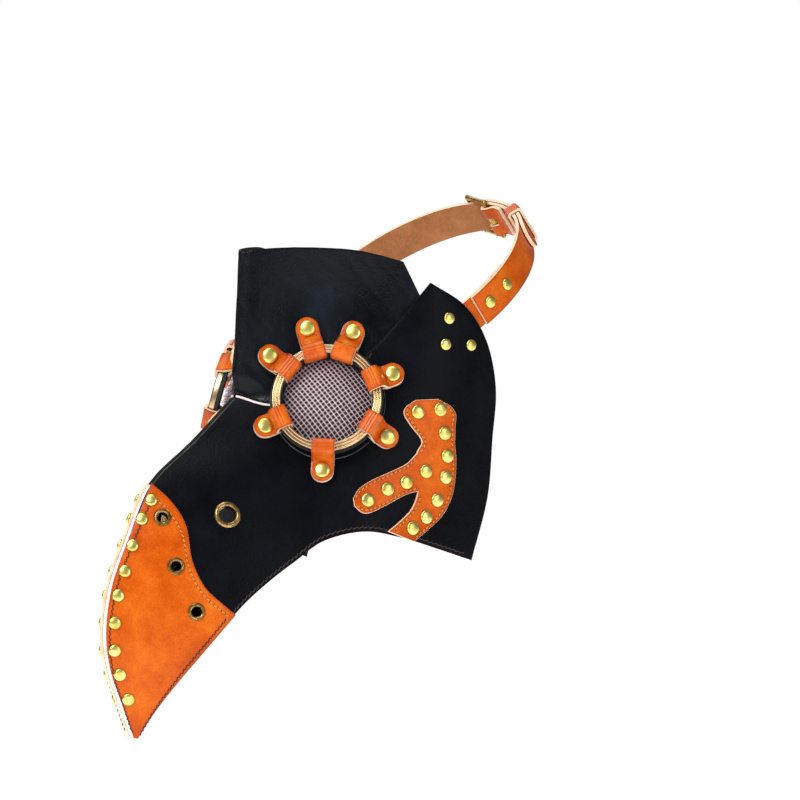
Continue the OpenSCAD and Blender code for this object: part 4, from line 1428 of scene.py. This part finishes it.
@dataclass
class EyeAssembly:
    """One eye, in mm: a leather collar, a brass ring in seven loops, and mesh over a dark lens."""

    ring_r: float = 32.7
    ring_in_r: float = 27.3
    ring_low: float = 8.8
    ring_top: float = 12.3
    washer_low: float = 6.3
    collar_r: float = 34.0
    collar_in_r: float = 28.4
    loop_w: float = 13.5
    dome_r: float = 26.1
    dome_h: float = 8.0
    mesh_low: float = 0.9
    wire_pitch: float = 2.4
    wire_r: float = 0.2
    wire_turn: float = math.radians(38)

    def build_collar(self) -> None:
        """Cuts the leather ring under the brass one."""

        def shape(s: float, t: float) -> Vector:
            """The collar's outer face."""
            a, r = math.tau * s, self.collar_in_r + (self.collar_r - self.collar_in_r) * t
            return SKIN.lift(EYE[0] + r * math.cos(a), EYE[1] + r * math.sin(a), GAP + TRIM_T)

        bm = cut_sheet(120, 4, shape)
        bmesh.ops.remove_doubles(bm, verts=bm.verts, dist=1e-6)
        face_along(bm, lambda c: Vector((1, -0.5, 0)))
        both(thicken("eye_collar_leather_left", bm, TRIM_T, [BLACK_HIDE, WORN_EDGE_AND_HIGHLIGHT, FLESH_SIDE], None, 0.3),
             Slot.BLACK, "eye_collar")

    def build_ring(self) -> None:
        """Spins the brass ring, with its three ridges and two grooves."""
        w, low, high = self.ring_r - self.ring_in_r, self.ring_low, self.ring_top - self.ring_low
        face = []
        for k in range(41):
            f = 1 - k / 40
            ridge = abs(math.sin(math.pi * (3 * f))) ** 0.55
            face.append((self.ring_in_r + w * f, low + high - 1.0 + ridge * 1.0))
        profile = [(self.ring_in_r, low), (self.ring_r, low), *face]
        bm = bmesh.new()
        lathe(profile, 128, EYE_FRAME, True, bm)
        both(new_piece("brass_eye_ring_left", bm, [RING_BRASS], 50), Slot.RING, "eye_ring")

    def build_mesh(self) -> None:
        """Weaves the wire mesh over its dome."""
        big = (self.dome_r**2 + self.dome_h**2) / (2 * self.dome_h)
        families: list[list[Path]] = [[], []]
        count = int(self.dome_r / self.wire_pitch)
        for family, turn in enumerate((self.wire_turn, self.wire_turn - math.pi / 2)):
            run, across = Vector((math.cos(turn), math.sin(turn))), Vector((-math.sin(turn), math.cos(turn)))
            for i in range(-count, count + 1):
                offset = i * self.wire_pitch
                half = math.sqrt(max((self.dome_r - 0.35) ** 2 - offset**2, 0.0))
                steps = max(int(2 * half / (self.wire_pitch / 4)), 2)
                path = []
                for k in range(steps + 1):
                    s = -half + 2 * half * k / steps
                    p = run * s + across * offset
                    sign = 1 if family == 0 else -1
                    weave = 0.16 * sign * math.cos(math.pi * (s / self.wire_pitch + i))
                    w = self.mesh_low + math.sqrt(big**2 - p.length_squared) - big + self.dome_h - 0.4 + weave
                    path.append(EYE_FRAME @ Vector((p.x, p.y, w)))
                families[family].append(path)
        # One direction of the weave takes the lit copy of the wire and the other the shaded copy: painted highlight
        # and painted shade.
        both(threads("bright_mesh_wires_left", families[1], self.wire_r, LIT_WIRE), Slot.MESH, "eye_mesh")
        both(threads("dark_mesh_wires_left", families[0], self.wire_r, SHADED_WIRE), Slot.MESH)

    def foot(self, spot: Pair, on_brow: bool) -> tuple[Matrix, float, float, float]:
        """A loop's foot.

        Args:
            spot: The foot's pattern point.
            on_brow: Whether it lies on the brow, under the side panel's level.

        Returns:
            The loop's frame in mm, the foot's distance from the eye's axis, its height and its outward tilt.
        """
        inverse = EYE_FRAME.inverted()
        f = inverse @ SKIN.lift(*spot, -BROW_DROP if on_brow else 0.0)
        e = inverse.to_3x3() @ SKIN.normal(*spot)
        r = Vector((f.x, f.y)).normalized()
        slope, aside = -(e.x * r.x + e.y * r.y) / e.z, (e.x * r.y - e.y * r.x) / e.z
        tilt = math.atan(slope)
        rise = 0.25 + 0.45 * self.loop_w * abs(aside)
        place = EYE_FRAME @ Matrix.Rotation(math.atan2(f.y, f.x), 4, "Z")
        return place, math.hypot(f.x, f.y) - rise * math.sin(tilt), f.z + rise * math.cos(tilt), tilt

    def loop_path(self, reach: float, base: float, tilt: float) -> Path:
        """The loop's middle line as (distance from the axis, height): over the ring and back under it."""

        def on_foot(s: float, h: float) -> Vector:
            """A point s outwards along the tilted foot and h above it."""
            return Vector((
                reach + s * math.cos(tilt) - h * math.sin(tilt),
                base + s * math.sin(tilt) + h * math.cos(tilt)
            ))

        over, under, out = self.ring_top + 1.0, self.washer_low - 1.1, self.loop_w / 2
        knots = [
            on_foot(out, 2.9), on_foot(out * 0.85, 2.9), on_foot(out * 0.5, 2.9), on_foot(0, 2.9),
            on_foot(-3.4, 2.9),
            on_foot(-5.4, 3.3), Vector((self.ring_r + 1.8, self.ring_top - 3.4)),
            Vector((self.ring_r + 1.3, self.ring_top - 1.0)), Vector((self.ring_r + 0.2, over - 0.1)),
            Vector((self.ring_r - 1.4, over + 0.05)), Vector((self.ring_in_r + 1.4, over)),
            Vector((self.ring_in_r - 0.6, over - 0.5)), Vector((self.ring_in_r - 1.8, over - 2.0)),
            Vector((self.ring_in_r - 2.1, under + 3.0)), Vector((self.ring_in_r - 1.8, under + 1.0)),
            Vector((self.ring_in_r - 0.2, under)), Vector((self.ring_r + 0.2, under)),
            on_foot(-5.2, 1.4), on_foot(-3.0, 1.15), on_foot(0, 1.15), on_foot(out * 0.6, 1.15),
            on_foot(out, 1.15),
        ]
        path = curve(knots, 130)
        # The ring's three ridges show through the leather.
        for p in path:
            across = (self.ring_r - p.x) / (self.ring_r - self.ring_in_r)
            if 0 < across < 1 and p.y > over - 0.5:
                p.y += 0.28 * abs(math.sin(3 * math.pi * across)) - 0.14
        return path

    def build_loops(self) -> None:
        """Cuts the seven loops and sets their rivets."""
        brass, caps, left = BrassFittings(), bmesh.new(), bmesh.new()
        for spot, on_brow in [(p, True) for p in LOOPS_ON_BROW] + [(p, False) for p in LOOPS_ON_SIDE]:
            place, reach, base, tilt = self.foot(spot, on_brow)
            path = self.loop_path(reach, base, tilt)
            seat = Matrix.Translation((reach, 0, base)) @ Matrix.Rotation(-tilt, 4, "Y")
            back = seat.inverted()

            def shape(s: float, t: float) -> Vector:
                """The loop's middle surface, rounded at its foot."""
                p = along(path, s * (len(path) - 1))
                out = (back @ Vector((p.x, 0, p.y))).x / (self.loop_w / 2)
                half = self.loop_w / 2 * math.sqrt(max(1 - max(out, 0) ** 2, 0.0015))
                return place @ Vector((p.x, (2 * t - 1) * half, p.y))

            strip = cut_sheet(130, 10, shape)
            middle = (place @ Vector((self.ring_r - 2.5, 0, self.ring_top - 2))) * MM
            face_along(strip, lambda c: c - middle)
            scratch = bpy.data.meshes.new("scratch")
            strip.to_mesh(scratch)
            strip.free()
            left.from_mesh(scratch)
            bpy.data.meshes.remove(scratch)
            lathe(
                brass.rivet(8.3, 4.6), brass.segments, place @ seat @ Matrix.Translation((0, 0, 3.85)), False,
                caps
            )
        loops = thicken("ring_loops_left", left, 1.6, [LOOP_HIDE, CREAM_EDGE, TAN_FLESH], None, 0.65, 0.0)
        both(loops, Slot.ORANGE, "eye_loops")
        both(new_piece("loop_stud_caps_left", caps, [STUD_BRASS]), Slot.STUD, "loop_rivets")

    def build(self) -> None:
        """Builds both eyes."""
        self.build_collar()
        self.build_ring()
        self.build_mesh()
        self.build_loops()


# ---- head strap ----


@dataclass
class HeadStrap:
    """The strap round the head, its temple tabs, buckle and keeper. Sizes are in mm."""

    width: float = 20.0
    thick: float = 2.0
    rise: float = math.radians(38)
    loop_r: float = 76.0
    centre: Vector = field(default_factory=lambda: Vector((0, 136, 59.4)))
    strap_end: float = -10.5
    tab_end: float = 14.0
    root: float = 40.0
    rivets: tuple[float, float] = (-4.0, 8.5)
    heel_at: float = 84.0
    heel_r: float = 74.2
    tongue_mid: float = 79.6
    keeper: tuple[float, float] = (58.0, 65.5)

    def frame(self) -> Matrix:
        """The loop's frame: its centre, y towards the back of the head and z across the strap."""
        return Matrix.Translation(self.centre) @ Matrix.Rotation(self.rise, 4, "X")

    def polar(self, r: float, degrees: float) -> Vector:
        """A point on the loop's plane."""
        return Vector((r * math.cos(math.radians(degrees)), r * math.sin(math.radians(degrees))))

    def at_heel(self, s: float, h: float) -> Vector:
        """A point near the buckle: s along the loop from the heel bar and h outwards from it."""
        a = math.radians(self.heel_at)
        return (self.heel_r + h) * Vector((math.cos(a), math.sin(a))) + s * Vector((-math.sin(a), math.cos(a)))

    def strip(
        self, name: str, path: Path, half: Callable[[float], float], cutter: bmesh.types.BMesh | None = None
    ) -> bpy.types.Object:
        """Cuts a strap along a path on the loop's plane.

        Args:
            name: The piece's name.
            path: Its middle line.
            half: Its half-width at a fraction of its length.
            cutter: Holes to punch.

        Returns:
            The settled piece.
        """
        place = self.frame()
        lengths = [0.0]
        for a, b in zip(path, path[1:]):
            lengths.append(lengths[-1] + (b - a).length)

        def shape(s: float, t: float) -> Vector:
            """The strap's middle surface."""
            want = s * lengths[-1]
            i = min(max(bisect.bisect_right(lengths, want) - 1, 0), len(path) - 2)
            p = along(path, i + (want - lengths[i]) / (lengths[i + 1] - lengths[i]))
            return place @ Vector((p.x, p.y, (2 * t - 1) * half(want)))

        bm = cut_sheet(200, 8, shape)
        hub = self.centre * MM
        face_along(bm, lambda c: c - hub)
        return thicken(name, bm, self.thick, [ORANGE_HIDE, CREAM_EDGE, TAN_FLESH], cutter, 0.5, 0.0)

    def build_tabs(self) -> None:
        """Cuts the temple tabs, each with a flared root riveted to the side panel."""
        left = vectors([(0, -10), (1.2, -12.6), (5, -16), (15, -17), (25, -14), (34, -10), (40, -10)])
        right = vectors([(0, 8), (1.2, 11.5), (4, 15.5), (10, 18), (20, 18), (28, 14), (34, 10), (40, 10)])
        inner = self.loop_r - GAP - BROW_T
        band = math.radians(self.tab_end - self.strap_end) * inner
        place = self.frame()
        turn = Matrix.Rotation(math.radians(self.strap_end), 4, "Z")

        def edge(side: Path, y: float) -> float:
            """The root's edge at distance y along it."""
            for a, b in zip(side, side[1:]):
                if y <= b.x:
                    return a.y + (b.y - a.y) * (y - a.x) / (b.x - a.x)
            return side[-1].y

        def shape(s: float, t: float) -> Vector:
            """The tab's outer face."""
            y = s * (self.root + band)
            low, high = edge(left, y), edge(right, y)
            if y < 1.0:
                low, high = low * (0.8 + 0.2 * y), high * (0.8 + 0.2 * y)
            across = low + (high - low) * t
            if y <= self.root:
                return place @ (turn @ Vector((inner + BROW_T, y - self.root, -across)))
            p = self.polar(inner + BROW_T, self.strap_end + math.degrees((y - self.root) / inner))
            return place @ Vector((p.x, p.y, -across))

        bm = cut_sheet(70, 16, shape)
        hub = self.centre * MM
        face_along(bm, lambda c: c - hub)
        tab = thicken("temple_tab_leather_left", bm, BROW_T, [ORANGE_HIDE, CREAM_EDGE, TAN_FLESH], None, 0.4)
        both(tab, Slot.ORANGE, "temple_tab")

    def build_straps(self) -> None:
        """Cuts the buckle strap and the tongue strap."""
        mid, fold = self.loop_r + self.thick / 2, 2.8
        place = self.frame()
        run = [self.polar(mid, a) for a in [self.strap_end + 2.5 * k for k in range(37)]]
        bend = [self.at_heel(
            fold * math.cos(math.radians(a)), fold * math.sin(math.radians(a))
        ) for a in range(90, -91, -15)]
        tail = [self.at_heel(*p) for p in ((-3.5, -2), (-7, 0), (-11, -0.4), (-15, -1.1))]
        half = self.width / 2
        slot = bmesh.new()
        bmesh.ops.create_cube(slot, size=MM)
        bmesh.ops.scale(slot, vec=(14, 11, 5.2), verts=slot.verts)
        turn = Matrix.Rotation(math.radians(self.heel_at), 4, "Z") @ Matrix.Translation((self.heel_r, 0, 0))
        at = place @ turn
        bmesh.ops.transform(
            slot, matrix=Matrix.Translation(at.to_translation() * MM) @ at.to_3x3().to_4x4(), verts=slot.verts
        )
        strap = self.strip("buckle_strap", run + bend + tail, lambda s: half, slot)
        fit(strap, Slot.ORANGE, ["strap_left"])
        run = [self.polar(mid, 180 - self.strap_end - 2.5 * k) for k in range(37)]
        climb = []
        for k in range(9):
            t = k / 8
            climb.append(self.polar(mid + (self.tongue_mid - mid) * t * t * (3 - 2 * t), 97 - 7 * t))
        lap = [self.polar(self.tongue_mid, 87 - 43 * k / 16) for k in range(17)]
        path = run + climb + lap
        total = sum((b - a).length for a, b in zip(path, path[1:]))

        def tongue(s: float) -> float:
            """The tongue's half-width, which narrows to a rounded nose."""
            return half * math.sqrt(max(1 - max((s - total + 11) / 11.3, 0) ** 2.4, 0.01))

        holes = bmesh.new()
        for a in (self.heel_at - 9, self.heel_at - 20):
            spin = Matrix.Rotation(math.radians(a), 4, "Z") @ Matrix.Translation((self.tongue_mid, 0, 0))
            drill(holes, place @ spin @ Matrix.Rotation(math.pi / 2, 4, "Y"), 1.6, 4, 24)
        cube = bmesh.ops.create_cube(holes, size=MM)["verts"]
        bmesh.ops.scale(holes, vec=(14, 10, 3.8), verts=cube)
        at = place @ turn @ Matrix.Translation((7, 1.2, 0))
        bmesh.ops.transform(
            holes, matrix=Matrix.Translation(at.to_translation() * MM) @ at.to_3x3().to_4x4(), verts=cube
        )
        fit(self.strip("tongue_strap", path, tongue, holes), Slot.ORANGE, ["strap_right"])

    def build_keeper(self) -> None:
        """Wraps the keeper round both straps; it slides along them."""
        half = self.width / 2 + 0.5 + 0.8
        low, high = self.loop_r - 0.6 - 0.8, self.tongue_mid + self.thick / 2 + 0.6 + 0.8
        corner, ring = 1.4, []
        for cx, cy, start in ((high - corner, half - corner, 0), (low + corner, half - corner, 90),
                              (low + corner, -half + corner, 180), (high - corner, -half + corner, 270)):
            for k in range(7):
                a = math.radians(start + 15 * k)
                ring.append(Vector((cx + corner * math.cos(a), cy + corner * math.sin(a))))
        ring.append(ring[0])
        place = self.frame()

        def shape(s: float, t: float) -> Vector:
            """The keeper's middle surface."""
            k = s * (len(ring) - 1)
            i = min(int(k), len(ring) - 2)
            p = ring[i].lerp(ring[i + 1], k - i)
            q = self.polar(p.x, self.keeper[0] + (self.keeper[1] - self.keeper[0]) * t)
            return place @ Vector((q.x, q.y, p.y))

        bm = cut_sheet(2 * (len(ring) - 1), 6, shape)
        bmesh.ops.remove_doubles(bm, verts=bm.verts, dist=1e-6)
        hub = (place @ self.polar((low + high) / 2, sum(self.keeper) / 2).to_3d()) * MM
        face_along(bm, lambda c: c - hub)
        keeper = thicken("keeper_loop", bm, 1.6, [LOOP_HIDE, CREAM_EDGE, TAN_FLESH], None, 0.4, 0.0)
        fit(keeper, Slot.ORANGE, ["strap_keeper"], "keeper")

    def build_rivets(self) -> None:
        """Sets the studs that join each strap to its tab."""
        brass = BrassFittings()
        places = [
            self.frame() @ Matrix.Rotation(math.radians(a), 4, "Z")
            @ Matrix.Translation(
                (self.loop_r + self.thick + 0.12, 0, 0)
            ) @ Matrix.Rotation(math.pi / 2, 4, "Y")
            for a in self.rivets
        ]
        brass.set_of("strap_stud_caps", places, brass.rivet(
            self.thick + BROW_T + 0.8, 3.6
        ), False, STUD_BRASS, Slot.STUD,
                     "strap_rivets")

    def build(self) -> None:
        """Builds the strap and its fittings."""
        self.build_tabs()
        self.build_straps()
        self.build_keeper()
        self.build_rivets()


# ---- carried-over nodes ----

KEPT: dict[str, Finish] = {
    "eye_washer_left": RUBBER, "eye_washer_right": RUBBER,
    "eye_lens_left": SMOKED_LENS, "eye_lens_right": SMOKED_LENS,
    "eye_retainer_left": BLACK_ABS, "eye_retainer_right": BLACK_ABS,
    "buckle_frame": BUCKLE_BRASS, "buckle_prong": BUCKLE_BRASS,
}


def dress_kept_nodes() -> None:
    """Gives each carried-over node its finish."""
    for name, finish in KEPT.items():
        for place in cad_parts[name].material_slots:
            place.material = dressed(finish)
        LOG.info("%s: %s", name, finish.name)


def main() -> None:
    """Builds the studio and the mask."""
    logging.basicConfig(level=logging.INFO, format="%(name)s: %(message)s")
    Studio().build()
    MaskLeathers().build()
    BeakPatch().build()
    CheekPatch().build()
    BrassFittings().build()
    EyeAssembly().build()
    HeadStrap().build()
    dress_kept_nodes()


if __name__ == "__main__":
    main()
